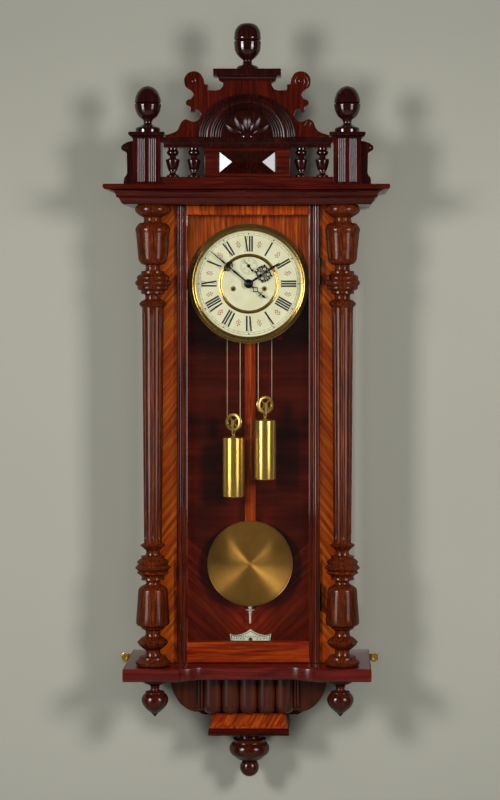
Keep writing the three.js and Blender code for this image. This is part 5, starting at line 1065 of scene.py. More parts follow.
def foot_block():
    """Square plinth under a coved block."""
    plinth = raised(FOOT_BASE, ((4.9, 0), (5.4, 0.6), (5.4, 9.4), (4.6, 10.2), (3.9, 10.6), (3.9, 12.6)))
    mould(
        "foot_plinth", smoothed(plinth, 2, 40), FOOT_HALF, FOOT_FRONT, BACKBOARD_FACE, walnut_across,
        slot="veneer", replaces=("foot_block",), angle=30,
    )
    cove = raised(FOOT_BASE, (
        (3.9, 12.7), (3.9, 14.4), (1.9, 16.8), (0.6, 21), (0, 27), (0, 37.4), (-0.5, 38),
    ))
    mould(
        "foot_cove", smoothed(cove, 3, 50), FOOT_HALF, FOOT_FRONT, BACKBOARD_FACE, foot_veneer,
        slot="veneer", angle=30,
    )


def leveller(side):
    """Brass screw with a ringed thumb head, and a curl of rod on the head's face."""
    sign = 1 if side == "right" else -1
    name, body = "leveller_screw_" + side, "leveller_body_" + side
    x, z = sign * LEVELLER_X, LEVELLER_Z
    profile = [
        (AXIS, -0.057), (0.0052, -0.057), (0.006, -0.0562), (0.006, -0.0543), (0.0052, -0.0538),
        (0.0052, -0.0530), (0.006, -0.0525), (0.006, -0.0508), (0.005, -0.05), (0.0026, -0.0498),
        (0.0024, -0.049),
    ]
    profile += [(0.0025 - 0.0003 * (i % 2), -0.049 + 0.00075 * i) for i in range(1, 59)]
    profile += [(0.0022, -0.005), (0.0002, 0.0)]
    lathe(
        name + "_threaded", profile, brass, (x * MM, z * MM), facing=True, segments=28, body=body,
        slot="brass", replaces=(name,), angle=38,
    )
    curl = []
    for i in range(22):
        turn, reach = 0.36 * i, 1.6 + 0.26 * i
        curl.append((x + sign * reach * math.cos(turn), -58.2, z + 4 + reach * math.sin(turn)))
    tube(name + "_curl", curl, [1.25 - 0.025 * i for i in range(22)], brass, 10, body=body, slot="brass")


apron()
foot_block()
for side in ("right", "left"):
    leveller(side)


# Flat work: dial printing, hands and plates
def flat_part(outline, front, back):
    """Vertices and faces of an outline in X and Z, in millimetres, given a thickness."""
    count = len(outline)
    verts = [at_mm(x, y, z) for y in (front, back) for x, z in outline]
    faces = [tuple(range(count)), tuple(range(count, 2 * count))[::-1]]
    faces += [(i, count + i, count + (i + 1) % count, (i + 1) % count) for i in range(count)]
    return verts, faces


def flat_ring(cx, cz, outer, inner, front, back, steps=24):
    """Vertices and faces of a flat washer."""
    verts = []
    for radius, y in ((outer, front), (outer, back), (inner, back), (inner, front)):
        verts += [at_mm(cx + radius * math.cos(a), y, cz + radius * math.sin(a)) for a in around(steps)]
    return verts, bands(4, steps, True)


def assembled(name, parts, material, **options):
    verts, faces = [], []
    for part_verts, part_faces in parts:
        base = len(verts)
        verts += part_verts
        faces += [tuple(base + i for i in face) for face in part_faces]
    return build(name, verts, faces, material, **options)


def dial_point(turn, across, radial, centre=(0, 0)):
    """A place on the dial: across and outwards from the ray that is turned clockwise from twelve."""
    s, c = math.sin(turn), math.cos(turn)
    return centre[0] + radial * s + across * c, centre[1] + radial * c - across * s


def bar(turn, start, end, width, centre=(0, 0)):
    """Outline of a straight stroke between two (across, outwards) places."""
    dx, dz = end[0] - start[0], end[1] - start[1]
    length = math.hypot(dx, dz)
    nx, nz = -dz / length, dx / length
    half = width / 2
    corners = ((start, half), (end, half), (end, -half), (start, -half))
    return [dial_point(turn, a + nx * reach, r + nz * reach, centre) for (a, r), reach in corners]


def oval(turn, across, radial, half_width, half_length, steps=16, centre=(0, 0)):
    return [
        dial_point(turn, across + half_width * math.cos(t), radial + half_length * math.sin(t), centre)
        for t in around(steps)
    ]


def swelling(turn, places, centre=(0, 0)):
    """Outline of a blade from (outwards, half width) places."""
    right = [dial_point(turn, half, r, centre) for r, half in places]
    left = [dial_point(turn, -half, r, centre) for r, half in reversed(places)]
    return right + left


# Dial
DIAL_FRONT = -108.0
INK_FRONT = DIAL_FRONT - 0.07
INK_BACK = DIAL_FRONT + 0.05
SECONDS_CENTRE = (0, 31)
NUMERAL_FOOT = 56.5
NUMERAL_TOP = 82.5
NUMERALS = ("I", "II", "III", "IIII", "V", "VI", "VII", "VIII", "IX", "X", "XI", "XII")
LETTER_WIDTHS = {"I": 4.2, "V": 7.0, "X": 7.2}
THICK_STROKE, THIN_STROKE, SERIF = 3.0, 0.65, 0.6
MINUTE_INNER, MINUTE_OUTER = 85.2, 88.4
WINDING_X, WINDING_Z = 27.1, -8.8


def numeral(hour):
    """Strokes of a Roman numeral with its feet towards the centre."""
    letters = NUMERALS[hour - 1]
    turn = math.radians(30 * hour)
    at = -sum(LETTER_WIDTHS[c] for c in letters) / 2
    strokes = []
    for letter in letters:
        centre, half = at + LETTER_WIDTHS[letter] / 2, LETTER_WIDTHS[letter] / 2 - 1.5
        at += LETTER_WIDTHS[letter]
        if letter == "I":
            ends = [(centre, centre, THICK_STROKE)]
        elif letter == "V":
            ends = [(centre + 0.3, centre - half, THICK_STROKE), (centre, centre + half, THIN_STROKE)]
        else:
            ends = [(centre + half, centre - half, THICK_STROKE), (centre - half, centre + half, THIN_STROKE)]
        for foot, top, width in ends:
            strokes.append(bar(turn, (foot, NUMERAL_FOOT), (top, NUMERAL_TOP), width))
            reach = width / 2 + 0.7
            strokes.append(bar(turn, (top - reach, NUMERAL_TOP), (top + reach, NUMERAL_TOP), SERIF))
            if letter != "V":
                strokes.append(bar(turn, (foot - reach, NUMERAL_FOOT), (foot + reach, NUMERAL_FOOT), SERIF))
    return strokes


SPRIG_LEAVES = (
    (0.2, 75.4, 40), (-2.6, 73.2, -30), (2.4, 72.4, 50), (-0.9, 70.2, 20), (2.7, 68.3, -50),
    (-2.5, 67.6, 60), (0.4, 65.6, -20),
)


def sprig(turn):
    """A small flower spray of leaves on a curled stem."""
    shapes = []
    for across, radial, degrees in SPRIG_LEAVES:
        s, c = math.sin(math.radians(degrees)), math.cos(math.radians(degrees))
        outline = []
        for t in around(8):
            a, r = 0.9 * math.cos(t), 1.6 * math.sin(t)
            outline.append(dial_point(turn, across + a * c - r * s, radial + a * s + r * c))
        shapes.append(outline)
    stem = [(1.1 * math.sin(i * 1.1), 66.2 + i * 1.7) for i in range(6)]
    return shapes + [bar(turn, stem[i], stem[i + 1], 0.4) for i in range(5)]


DIGITS = {
    "0": ((-1, 2), (0, 2.4), (1, 2), (1, -2), (0, -2.4), (-1, -2), (-1, 2)),
    "1": ((-0.5, 1.7), (0.2, 2.4), (0.2, -2.4)),
    "2": ((-1, 1.6), (0, 2.4), (1, 1.5), (-1, -2.3), (1.1, -2.3)),
    "3": ((-1, 2.3), (1, 2.3), (-0.1, 0.4), (1, -0.9), (0, -2.4), (-1, -1.8)),
    "4": ((0.6, -2.4), (0.6, 2.4), (-1.1, -0.9), (1.2, -0.9)),
    "5": ((1, 2.3), (-0.8, 2.3), (-0.9, 0.2), (0.6, 0.3), (1, -1.2), (0, -2.4), (-1, -2)),
    "6": ((0.8, 2.2), (-0.6, 1.2), (-1, -1.2), (0, -2.4), (1, -1.2), (0.2, 0.1), (-0.9, -0.6)),
}
DIGIT_TALL, DIGIT_PITCH, DIGIT_STROKE = 4.8, 3.0, 0.36


def small_number(text, turn, radius, height, centre):
    """Strokes of an upright number on the seconds dial."""
    scale = height / DIGIT_TALL
    middle = dial_point(turn, 0, radius, centre)
    strokes = []
    for place, digit in enumerate(text):
        shift = (place - (len(text) - 1) / 2) * DIGIT_PITCH * scale
        line = [(x * scale + shift, z * scale) for x, z in DIGITS[digit]]
        strokes += [bar(0, start, end, DIGIT_STROKE, middle) for start, end in zip(line, line[1:])]
    return strokes


def printing(name, outlines, rings=(), material=ink, proud=0.0):
    parts = [flat_part(outline, INK_FRONT - proud, INK_BACK) for outline in outlines]
    parts += [flat_ring(*ring, INK_FRONT - proud, INK_BACK, steps=120) for ring in rings]
    return assembled(name, parts, material, slot="dial_enamel", angle=30)


def dial_printing():
    """Roman hours, a track of minutes, twelve flower sprays and a numbered seconds track."""
    printing("dial_numerals", [stroke for hour in range(1, 13) for stroke in numeral(hour)])
    minutes, seconds = [], []
    for i in range(60):
        turn = math.radians(6 * i)
        if i % 5:
            minutes.append(bar(turn, (0, MINUTE_INNER), (0, MINUTE_OUTER), 0.38))
            seconds.append(bar(turn, (0, 12.9), (0, 15), 0.2, SECONDS_CENTRE))
        else:
            minutes.append(oval(turn, 0, 87.2, 1.25, 1.25))
            seconds.append(bar(turn, (0, 12.3), (0, 15), 0.34, SECONDS_CENTRE))
    printing("minute_track", minutes, [(0, 0, 88.8, 88.35), (0, 0, 85.25, 84.85)], proud=0.01)
    sprays = [shape for i in range(12) for shape in sprig(math.radians(30 * i + 15))]
    printing("dial_sprigs", sprays, material=sprig_ink)
    for i in range(1, 7):
        seconds += small_number(str(10 * i), math.radians(60 * i), 9.9, 2.7, SECONDS_CENTRE)
    rings = [(*SECONDS_CENTRE, 15.3, 15.05), (*SECONDS_CENTRE, 12.95, 12.75)]
    printing("seconds_track", seconds, rings, grey_ink, proud=0.02)


def turned_ring(name, section, material, centre=(0, 0), segments=160):
    return faced(name, [*section, section[0]], material, centre, segments=segments, slot="brass", angle=30)


def dial():
    """Printed face with two winding squares in bushes, a raised ring round its middle and a stepped bezel."""
    finish_node("dial_plate", dial_face, edge=0.3)
    dial_printing()
    for sign, side in ((-1, "left"), (1, "right")):
        x = WINDING_X * sign
        box_slab(
            "winding_square_" + side, x - 1.5, x + 1.5, -107.4, -104, WINDING_Z - 1.5, WINDING_Z + 1.5,
            blued, edge=0.2, slot="blued_steel",
        )
    turned_ring("dial_ring", [
        (46.5, -107.9), (46.7, -108.6), (47.6, -109.1), (48.6, -108.8), (49.2, -108.4), (50.2, -108.5),
        (51.2, -109.0), (52.2, -108.7), (52.6, -107.9),
    ], brass_lathe)
    bush = [(2.2, -107.6), (2.2, -108.4), (2.8, -108.8), (4.2, -108.7), (4.8, -107.9)]
    for sign, side in ((-1, "left"), (1, "right")):
        turned_ring("winding_bush_" + side, bush, brass, (WINDING_X * sign, WINDING_Z), 40)
    section = [
        (92, -108.3), (104, -108.3), (104, -111.3), (103.8, -111.5), (103.0, -111.9), (102.2, -111.5),
        (101.4, -111.4), (100.2, -111.4), (99.5, -111.9), (99.0, -113.4), (98.6, -117.6), (98.3, -118.0),
        (97.4, -118.4), (96.5, -118.0), (95.7, -117.9), (95.3, -116.8), (95.0, -115.3), (94.4, -115.1),
        (93.4, -115.5), (92.4, -115.1), (92, -113.6), (92, -109.9),
    ]
    profile = smoothed(metres(section), 3, 38)
    profile.append(profile[0].copy())
    lathe(
        "bezel_turned", profile, brass_lathe, facing=True, segments=200, slot="brass",
        replaces=("dial_bezel",), angle=32,
    )


# Hands
MINUTE_TURN = math.radians(310.5)
HOUR_TURN = math.radians(55.9)
SECONDS_TURN = math.radians(321)
MINUTE_DEPTHS, HOUR_DEPTHS, SECONDS_DEPTHS = (-116.0, -115.1), (-113.0, -112.1), (-111.0, -110.5)
HOUR_WHEEL_TEETH = 24
HOUR_WHEEL_DEPTHS = (-101.3, -99.6)
TOOTH = ((0.0, 14.6), (0.3, 14.6), (0.42, 15.8), (0.58, 16.0), (0.74, 15.8), (0.88, 14.6))
HOUR_PIPE = ((3.3, -99.4), (4.2, -99.4), (4.2, -112.1), (3.3, -112.1), (3.3, -99.4))


def minute_hand():
    """Blade with four rings and a cross bar, a diamond and a leaf on its tail, and a stepped collet."""
    turn, tail = MINUTE_TURN, MINUTE_TURN + math.pi
    outlines = [
        oval(turn, 0, 0, 6.4, 6.4, 32),
        swelling(turn, [(4, 2.2), (12, 1.2), (22, 1.3), (31, 1.9), (34.5, 1.7), (36.5, 0.7), (40, 0.7)]),
        swelling(turn, [(38.6, 1.3), (40.4, 0.7), (52.6, 0.7), (54.4, 1.3)]),
        swelling(turn, [(53.6, 0.9), (57.5, 1.7), (61, 1.2), (76, 0.8), (86, 0.5), (88, 0.1)]),
        bar(turn, (-7.4, 46.2), (7.4, 46.2), 1.7),
        swelling(tail, [(4, 1.7), (10.6, 1.3)]),
        bar(tail, (0, 10.2), (-5.2, 15.6), 1.3),
        bar(tail, (0, 10.2), (5.2, 15.6), 1.3),
        bar(tail, (-5.2, 15.2), (0, 20.6), 1.3),
        bar(tail, (5.2, 15.2), (0, 20.6), 1.3),
        swelling(tail, [(19.8, 0.9), (33, 0.9)]),
        bar(tail, (-3.8, 27.6), (3.8, 27.6), 1.1),
        swelling(tail, [(30.5, 0.3), (32.5, 2.1), (34, 2.3), (39.5, 0.1)]),
    ]
    parts = [flat_part(outline, *MINUTE_DEPTHS) for outline in outlines]
    for side in (-1, 1):
        for radial in (42.6, 49.8):
            parts.append(flat_ring(*dial_point(turn, side * 3.1, radial), 2.8, 1.5, *MINUTE_DEPTHS))
        for angle, across, radial, size in (
            (turn, 8.4, 46.2, 2.0), (turn, 6.4, 49.2, 1.5), (turn, 6.4, 43.2, 1.5), (tail, 4.3, 27.6, 1.2),
        ):
            parts.append(flat_part(oval(angle, side * across, radial, size, size), *MINUTE_DEPTHS))
    options = {"body": "minute_train", "slot": "blued_steel"}
    bevelled(assembled("minute_hand_cut", parts, blued, replaces=("minute_hand",), **options), 0.12)
    collet = smoothed([
        (AXIS, -120), (0.8, -120), (1.9, -119.6), (2.2, -118.6), (3.4, -118.4), (5.0, -117.8),
        (7.4, -116.8), (7.8, -116.2), (7.8, -116.0), (AXIS, -116.0),
    ], 3, 40)
    faced("minute_collet", collet, blued, segments=48, **options)


def hour_hand():
    """Blade with four open rings between beads, its pipe and its wheel."""
    turn = HOUR_TURN
    outlines = [
        swelling(turn, [(6.4, 2.1), (12, 1.5), (16, 2.1), (18, 1.0), (44, 1.0)]),
        swelling(turn, [(42.5, 1.1), (46, 2.0), (49, 2.3), (54, 1.6), (62, 0.8), (66, 0.1)]),
        bar(turn, (-10.4, 31), (10.4, 31), 1.3),
        swelling(turn + math.pi, [(6, 1.4), (8.6, 0.5)]),
    ]
    parts = [flat_ring(0, 0, 7.4, 4.4, *HOUR_DEPTHS)]
    parts += [flat_part(outline, *HOUR_DEPTHS) for outline in outlines]
    for side in (-1, 1):
        for across, radial in ((5.4, 25.0), (5.6, 37.2)):
            parts.append(flat_ring(*dial_point(turn, side * across, radial), 4.6, 3.0, *HOUR_DEPTHS))
        beads = ((12.8, 31, 1.8), (12.2, 35.2, 1.7), (12.2, 26.8, 1.7), (11.0, 40.6, 1.7), (10.6, 21.4, 1.7))
        for across, radial, size in beads:
            parts.append(flat_part(oval(turn, side * across, radial, size, size), *HOUR_DEPTHS))
        for a0, r0, a1, r1, width in (
            (1, 19.6, 9.8, 21.6, 1.5), (1, 42.6, 10.2, 40.4, 1.5),
            (9.6, 27, 12.2, 27, 1.3), (9.6, 35, 12.2, 35, 1.3),
        ):
            parts.append(flat_part(bar(turn, (side * a0, r0), (side * a1, r1), width), *HOUR_DEPTHS))
    plate = assembled(
        "hour_hand_cut", parts, blued, body="hour_wheel", slot="blued_steel", replaces=("hour_hand",)
    )
    bevelled(plate, 0.12)
    faced("hour_pipe", HOUR_PIPE, brass, segments=32, body="hour_wheel", slot="brass")
    outline = []
    for i in range(HOUR_WHEEL_TEETH):
        for share, radius in TOOTH:
            angle = 2 * math.pi * (i + share) / HOUR_WHEEL_TEETH
            outline.append((radius * math.cos(angle), radius * math.sin(angle)))
    bore = [(x * 3.4 / math.hypot(x, z), z * 3.4 / math.hypot(x, z)) for x, z in outline]
    verts = [at_mm(x, y, z) for edge in (outline, bore) for y in HOUR_WHEEL_DEPTHS for x, z in edge]
    count = len(outline)
    faces = []
    for i in range(count):
        j = (i + 1) % count
        faces += [(i, j, 2 * count + j, 2 * count + i), (count + j, count + i, 3 * count + i, 3 * count + j)]
        faces += [(i, count + i, count + j, j), (2 * count + i, 2 * count + j, 3 * count + j, 3 * count + i)]
    build("hour_wheel_cut", verts, faces, brass_plain, body="hour_wheel", slot="brass", angle=30)


def seconds_hand():
    turn, tail, centre = SECONDS_TURN, SECONDS_TURN + math.pi, SECONDS_CENTRE
    outlines = [
        oval(turn, 0, 0, 2.9, 2.9, 24, centre),
        swelling(turn, [(1.8, 0.55), (13, 0.3), (14.6, 0.1)], centre),
        swelling(tail, [(1.8, 0.8), (9.6, 0.7)], centre),
        oval(tail, 0, 10.2, 2.0, 2.0, 20, centre),
    ]
    plate = assembled(
        "seconds_hand_cut", [flat_part(outline, *SECONDS_DEPTHS) for outline in outlines], blued,
        body="seconds_train", slot="blued_steel", replaces=("seconds_hand",),
    )
    bevelled(plate, 0.08)


# Pendulum and beat scale
PENDULUM_Y = -34
SPRING_FOOT, THREAD_TOP = 34.5, -567
BOB_Z = -496
BOB_RADIUS = 75.5
BOB_HALF = 14
BOB_FRONT = (
    (BOB_RADIUS, -0.3), (BOB_RADIUS, 0.56), (75.1, 0.62), (74.4, 0.6), (73.2, 0.66), (60, 0.76), (42, 0.87),
    (24, 0.95), (12, 0.985), (AXIS, 1.0),
)
BOB_BACK = ((AXIS, -0.85), (20, -0.82), (38, -0.7), (60, -0.5), (75.1, -0.34))
NUT_OUTLINE = (
    (0.22, 0), (0.34, 0.04), (0.42, 0.14), (0.36, 0.24), (0.3, 0.3), (0.44, 0.35), (0.96, 0.4), (1, 0.43),
    (1, 0.47), (0.96, 0.5), (0.4, 0.54), (0.3, 0.58), (0.42, 0.66), (0.5, 0.76), (0.5, 0.84), (0.42, 0.94),
    (0.3, 1),
)
SCALE_HALF, SCALE_FOOT, SCALE_TALL = 36.8, -646.3, 30
SCALE_EDGE = ((0.9, 0), (1, 0.72), (0.84, 0.66), (0.66, 0.64), (0.4, 0.72), (0.18, 0.84), (0, 1))
PIVOT_Z = 60
MARK_OUTER, MARK_INNER, LONG_MARK = 692, 688, 1.6


def pendulum():
    """Wood rod with a steel spring over it and a silvered thread under it, a spun bob and a turned nut."""
    rod = finish_node("pendulum_rod", rod_wood, steel, silver)
    for face in rod.data.polygons:
        z = face.center.z / MM
        face.material_index = 1 if z > SPRING_FOOT else 2 if z < THREAD_TOP else 0
    bevelled(rod, 0.6)
    section = [(r, PENDULUM_Y - BOB_HALF * share) for r, share in BOB_BACK + BOB_FRONT]
    faced(
        "bob_spun", smoothed(section, 3, 38), brass_bob, (0, BOB_Z), segments=220, body="pendulum",
        slot="brass", replaces=("pendulum_bob",), angle=24,
    )
    low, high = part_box("rating_nut")
    middle = ((low.x + high.x) / 2, (low.y + high.y) / 2)
    widest = (high.x - low.x) / 2
    nut = [(r * widest, low.z + share * (high.z - low.z)) for r, share in NUT_OUTLINE]
    lathe(
        "rating_nut_turned", smoothed(nut, 4, 60), silver, middle, segments=40, body="rating_nut_body",
        slot="brass", replaces=("rating_nut",), angle=40,
    )


def beat_scale():
    """The eared plate with an engraved border, its divisions and the dark eye of its screw."""
    finish_node("beat_scale", ivory, edge=0.5)
    wide, tall = SCALE_HALF - 2.2, SCALE_TALL - 4.4
    inset = [(across * wide, SCALE_FOOT + 1.6 + up * tall) for across, up in SCALE_EDGE]
    border = inset + [(-x, z) for x, z in reversed(inset[:-1])]
    marks = [bar(0, start, end, 1.1) for start, end in zip(border, border[1:])]
    for i in range(-9, 10):
        angle = math.radians(i * 0.26)
        outer = MARK_OUTER - (0 if i % 3 else LONG_MARK)
        ends = [(r * math.sin(angle), PIVOT_Z - r * math.cos(angle)) for r in (outer, MARK_INNER)]
        marks.append(bar(0, *ends, 0.8 if i % 3 else 1.2))
    for sign in (-1, 1):
        for reach in (12, 18, 24, 29):
            marks.append(oval(0, sign * reach, SCALE_FOOT + 11.4 + 0.1 * reach, 1.7, 0.8, 12))
    assembled("beat_marks", [flat_part(mark, -17.42, -17.25) for mark in marks], scale_ink, slot="ivory")
    assembled("beat_eye", [flat_ring(0, SCALE_FOOT + 11.7, 3.7, 2.5, -17.5, -17.2)], ink, slot="ivory")


# Weights, pulleys and cables
PULLEY_YAW = math.radians(32.6)
WEIGHT_X, WEIGHT_Y = 27.5, -78
WEIGHT_OUTLINE = (
    (AXIS, 0), (15.8, 0), (17.4, 0.3), (18.6, 1.0), (19.1, 2.2), (19.1, 102.8), (18.6, 104), (17.4, 104.7),
    (15.8, 105), (6.2, 105), (5.6, 106.0), (3.4, 106.6), (2.2, 107.6), (AXIS, 107.8),
)
STRAP_OUTLINE = (
    (-3.2, 0), (-2.9, 2.2), (-1.6, 3.6), (1.6, 3.6), (2.9, 2.2), (3.2, 0), (2.9, -4), (1.9, -12),
    (1.3, -18), (1.3, -20.6), (-1.3, -20.6), (-1.3, -18), (-1.9, -12), (-2.9, -4), (-3.2, 0),
)
STRAP_GAP, STRAP_THICK, YOKE_DROP = 3.7, 1.2, -20.6
EYE_OUTLINE = ((AXIS, -0.7), (1.6, -0.7), (2.0, -0.4), (2.0, 0.4), (1.6, 0.7), (AXIS, 0.7))
RIM_OUTLINE = (
    (11.0, -2.5), (11.4, -3.0), (15.0, -3.0), (15.6, -2.6), (15.3, -2.0), (14.0, -1.0), (13.15, -0.45),
    (12.9, 0), (13.15, 0.45), (14.0, 1.0), (15.3, 2.0), (15.6, 2.6), (15.0, 3.0), (11.4, 3.0), (11.0, 2.5),
    (11.0, -2.5),
)
HUB_OUTLINE = ((1.5, -2.9), (2.7, -2.9), (3.4, -2.3), (3.4, 2.3), (2.7, 2.9), (1.5, 2.9), (1.5, -2.9))
SPOKE_COUNT = 4
CABLE_RUN, CABLE_RADIUS, CABLE_STEPS = 13.85, 0.65, 26
DRUM_Z, STUD_Z = -8.8, -54.0
DRIVES = (("right", 1, -212.5, -343.7), ("left", -1, -243.0, -374.2))


def turned_about(made, sign, axle):
    """Carries a piece made round the origin to its place on a pulley's axle."""
    place = Matrix.Translation(at_mm(sign * WEIGHT_X, WEIGHT_Y, axle))
    made.data.transform(place @ Matrix.Rotation(sign * PULLEY_YAW, 4, "Z"))
    return made


def weight(side, sign, axle, bottom):
    """A capped brass can, and the stirrup and link that hang it from its pulley."""
    body = "weight_body_" + side
    profile = metres(smoothed(raised(bottom, WEIGHT_OUTLINE), 3, 50))
    lathe(
        "weight_can_" + side, profile, brass_weight, (sign * WEIGHT_X * MM, WEIGHT_Y * MM), segments=96,
        body=body, slot="brass", replaces=("weight_" + side,), angle=30,
    )
    drop = [(p.x, p.y) for p in smoothed(STRAP_OUTLINE, 3, 60)[:-1]]
    straps = []
    for place in (-1, 1):
        near = place * STRAP_GAP - STRAP_THICK / 2
        straps.append(bevelled(facing_prism("strap", drop, near, near + STRAP_THICK, brass), 0.2))
        eye = [(r, place * 4.6 + y) for r, y in EYE_OUTLINE]
        straps.append(faced("eye", eye, brass, segments=24))
    yoke = [(0, -4.3, YOKE_DROP + 1), (0, -3.4, YOKE_DROP), (0, 3.4, YOKE_DROP), (0, 4.3, YOKE_DROP + 1)]
    straps.append(tube("yoke", yoke, 1.1, brass, 10))
    gap = (axle + YOKE_DROP) - (bottom + 107)
    link = [(0, 2.1 * math.cos(t), YOKE_DROP - gap / 2 + (gap / 2 + 1.2) * math.sin(t)) for t in around(24)]
    straps.append(tube("link", link, 0.75, brass, 10, closed=True))
    joined("stirrup_" + side, [turned_about(made, sign, axle) for made in straps], body, "brass")


def pulley(side, sign, axle):
    """Grooved rim, hub and four tapered spokes."""
    parts = [
        faced("rim", RIM_OUTLINE, brass, segments=72, angle=34),
        faced("hub", HUB_OUTLINE, brass, segments=32),
    ]
    for k in range(SPOKE_COUNT):
        turn = 2 * math.pi / SPOKE_COUNT * k + math.pi / 4
        outline = swelling(turn, [(3.0, 1.5), (5.5, 1.0), (8.5, 0.9), (10.2, 1.2), (11.3, 1.9)])
        parts.append(bevelled(facing_prism("spoke", outline, -1.2, 1.2, brass), 0.25))
    wheel = [turned_about(made, sign, axle) for made in parts]
    joined("pulley_wheel_" + side, wheel, "pulley_body_" + side, "brass", ("pulley_" + side,))


def cable(side, sign, axle):
    """Down from the drum, round the pulley and up to the stud under the plates."""
    ux, uy = sign * math.cos(PULLEY_YAW), math.sin(PULLEY_YAW)
    steps = CABLE_STEPS

    def at(reach, z):
        return (sign * WEIGHT_X + ux * reach, WEIGHT_Y + uy * reach, z)

    points = [at(CABLE_RUN, DRUM_Z + (axle - DRUM_Z) * i / steps) for i in range(steps)]
    points += [at(CABLE_RUN * math.cos(t), axle - CABLE_RUN * math.sin(t)) for t in half_turn(20)]
    points += [at(-CABLE_RUN, axle + (STUD_Z - axle) * i / steps) for i in range(1, steps + 1)]
    line = tube(
        "suspension_cable_" + side, points, CABLE_RADIUS, cord_steel, 10, body=None,
        replaces=("cable_" + side,), slot="bright_steel",
    )
    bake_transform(line)


# Movement
WHEELS_BACK = (("centre_arbor", -99), ("escape_wheel", -97))
HAMMER_HEAD_TOP = 5


def movement():
    """Plates, drums, anchor and gong, steel arbors in front of brass wheels, and a brass hammer head."""
    for name, material in (
        ("movement_frame", brass_plain), ("suspension_bracket", brass_plain), ("pallet_anchor", steel),
        ("gong", steel), ("drum_right", brass_plain), ("drum_left", brass_plain),
    ):
        finish_node(name, material, edge=0.25)
    for name, front in WHEELS_BACK:
        made = finish_node(name, brass_plain, steel, edge=0.15)
        for face in made.data.polygons:
            face.material_index = 1 if face.center.y / MM < front else 0
    hammer = finish_node("gong_hammer", steel, brass, edge=0.2)
    for face in hammer.data.polygons:
        face.material_index = 1 if face.center.z / MM < HAMMER_HEAD_TOP else 0


dial()
minute_hand()
hour_hand()
seconds_hand()
pendulum()
beat_scale()
for side, sign, axle, bottom in DRIVES:
    weight(side, sign, axle, bottom)
    pulley(side, sign, axle)
    cable(side, sign, axle)
movement()


# Stage, in metres
WALL_Y, WALL_HALF, WALL_TOP = 0.0012, 4, 2.5
FLOOR_Z, FLOOR_FRONT = -1.5, -5
AIM_Z = -0.3
KEY_X, KEY_Y, KEY_Z = 1.24, -2.2, 0.28
KEY_SIZE, KEY_POWER = (0.4, 0.5), 34
GLOSS_X, GLOSS_Y, GLOSS_WIDTH = 1.52, -1.7, 0.7
FRONT_PLACE, FRONT_SIZE, FRONT_POWER = (0.1, -3.6, -0.1), 1.4, 20
BACK_PLACE, BACK_AIM, BACK_SIZE, BACK_POWER = (0, 2.4, 0.5), (0, 0, -0.2), 1.6, 26
ROOM_COLOR, ROOM_LIGHT = (0.5, 0.5, 0.48, 1), 0.08
SIDES = ((-1, "left", 36, 0.07), (1, "right", 20, 0.02))
GLOSS_HIGH, GLOSS_LOW, GLOSS_FOOT = (0.38, 0.62), (-0.28, 0.68), (-1.0, 0.7)


def backdrop():
    """A grey wall with painted light falloff, lighter low down and darker at its top, and a floor, shown from
    the front to the camera and reflections.
    """
    material = bpy.data.materials.new("wall_paint")
    material.use_nodes = True
    tree = material.node_tree
    tree.nodes.clear()
    place = object_space(tree)
    cloud = noise(tree, place, 1.6, 2.0).outputs["Fac"]
    color = ramp(tree, cloud, [(0.35, rgb(0xA9A89B)), (0.65, rgb(0xADAC9F))])
    # Painted light falloff: the wall's colour is lighter low down and darker towards its top.
    level = mapped(tree, node(tree, "SeparateXYZ", {0: place}).outputs[2], -0.8, 0.45)
    painted_falloff = ramp(tree, level, [(0.0, (1, 1, 1)), (0.4, (0.92,) * 3), (0.7, (0.92,) * 3), (1.0, (0.78,) * 3)])
    paint = node(tree, "BsdfDiffuse", {"Color": mixed(tree, 1.0, color, painted_falloff, "MULTIPLY")}).outputs[0]
    clear = node(tree, "BsdfTransparent").outputs[0]
    path = node(tree, "LightPath").outputs
    seen = calculated(tree, "MAXIMUM", path["Is Camera Ray"], path["Is Glossy Ray"])
    front = calculated(tree, "SUBTRACT", 1.0, node(tree, "NewGeometry").outputs["Backfacing"])
    mix = node(tree, "MixShader", {0: calculated(tree, "MULTIPLY", seen, front), 1: clear, 2: paint})
    output = tree.nodes.new("ShaderNodeOutputMaterial")
    tree.links.new(mix.outputs[0], output.inputs["Surface"])
    for name, low, high in (
        ("wall", (WALL_Y, FLOOR_Z), (WALL_Y, WALL_TOP)),
        ("floor", (FLOOR_FRONT, FLOOR_Z), (WALL_Y, FLOOR_Z)),
    ):
        corners = [(-WALL_HALF, *low), (WALL_HALF, *low), (WALL_HALF, *high), (-WALL_HALF, *high)]
        mesh = bpy.data.meshes.new(name)
        mesh.from_pydata(corners, [], [(0, 1, 2, 3)])
        mesh.materials.append(material)
        made = bpy.data.objects.new(name, mesh)
        bpy.context.scene.collection.objects.link(made)


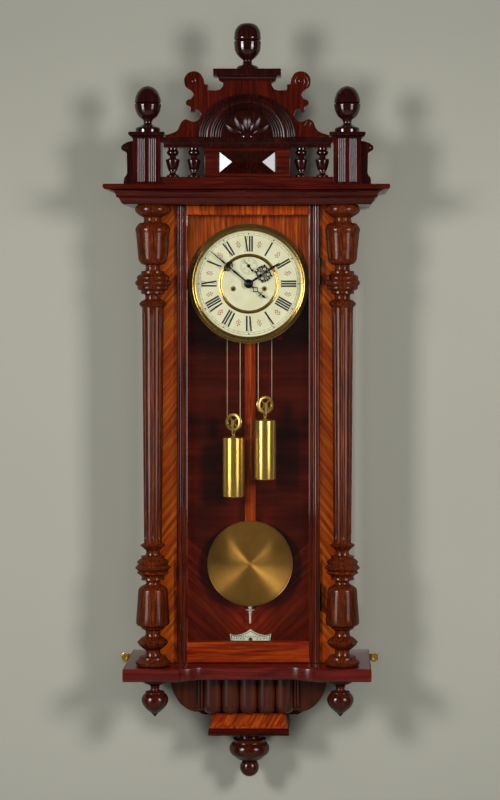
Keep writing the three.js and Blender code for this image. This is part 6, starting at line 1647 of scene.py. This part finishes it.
def softbox(name, place, aim, width, height, power):
    lamp = bpy.data.lights.new(name, "AREA")
    lamp.shape = "RECTANGLE"
    lamp.size = width
    lamp.size_y = height
    lamp.energy = power
    made = bpy.data.objects.new(name, lamp)
    made.location = place
    made.rotation_euler = (Vector(aim) - Vector(place)).to_track_quat("-Z", "Y").to_euler()
    bpy.context.scene.collection.objects.link(made)
    return made


def studio():
    """Soft lamps and lamps for reflections alone at both sides, one soft lamp in front and one behind."""
    backdrop()
    for sign, name, power, foot in SIDES:
        key = softbox("key_" + name, (sign * KEY_X, KEY_Y, KEY_Z), (0, 0, AIM_Z), *KEY_SIZE, KEY_POWER)
        key.visible_glossy = False
        for place, (level, height), share in (
            ("high", GLOSS_HIGH, 1.0), ("low", GLOSS_LOW, 0.4), ("foot", GLOSS_FOOT, foot),
        ):
            gloss = softbox(
                "gloss_%s_%s" % (name, place), (sign * GLOSS_X, GLOSS_Y, level), (0, -0.1, level * 0.5),
                GLOSS_WIDTH, height, power * share,
            )
            gloss.visible_diffuse = False
    front = softbox("front", FRONT_PLACE, (0, 0, AIM_Z), FRONT_SIZE, FRONT_SIZE, FRONT_POWER)
    front.visible_glossy = False
    softbox("back", BACK_PLACE, BACK_AIM, BACK_SIZE, BACK_SIZE, BACK_POWER)
    world = bpy.data.worlds.new("room")
    world.use_nodes = True
    shade = world.node_tree.nodes["Background"]
    shade.inputs["Color"].default_value = ROOM_COLOR
    shade.inputs["Strength"].default_value = ROOM_LIGHT
    bpy.context.scene.world = world
    bpy.context.scene.view_settings.view_transform = "Standard"


CAMERA_PLACE = (0.1275, -3.920, 0.0044)
FOCAL_LENGTH, SENSOR_WIDTH = 98.5, 36
SHIFT_X, SHIFT_Y = -0.090, -0.1485


def camera():
    lens = bpy.data.cameras.new("view")
    lens.lens = FOCAL_LENGTH
    lens.sensor_width = SENSOR_WIDTH
    lens.shift_x = SHIFT_X
    lens.shift_y = SHIFT_Y
    made = bpy.data.objects.new("view", lens)
    made.location = CAMERA_PLACE
    made.rotation_euler = (math.radians(90), 0, 0)
    bpy.context.scene.collection.objects.link(made)
    bpy.context.scene.camera = made


studio()
camera()
bpy.context.view_layer.update()
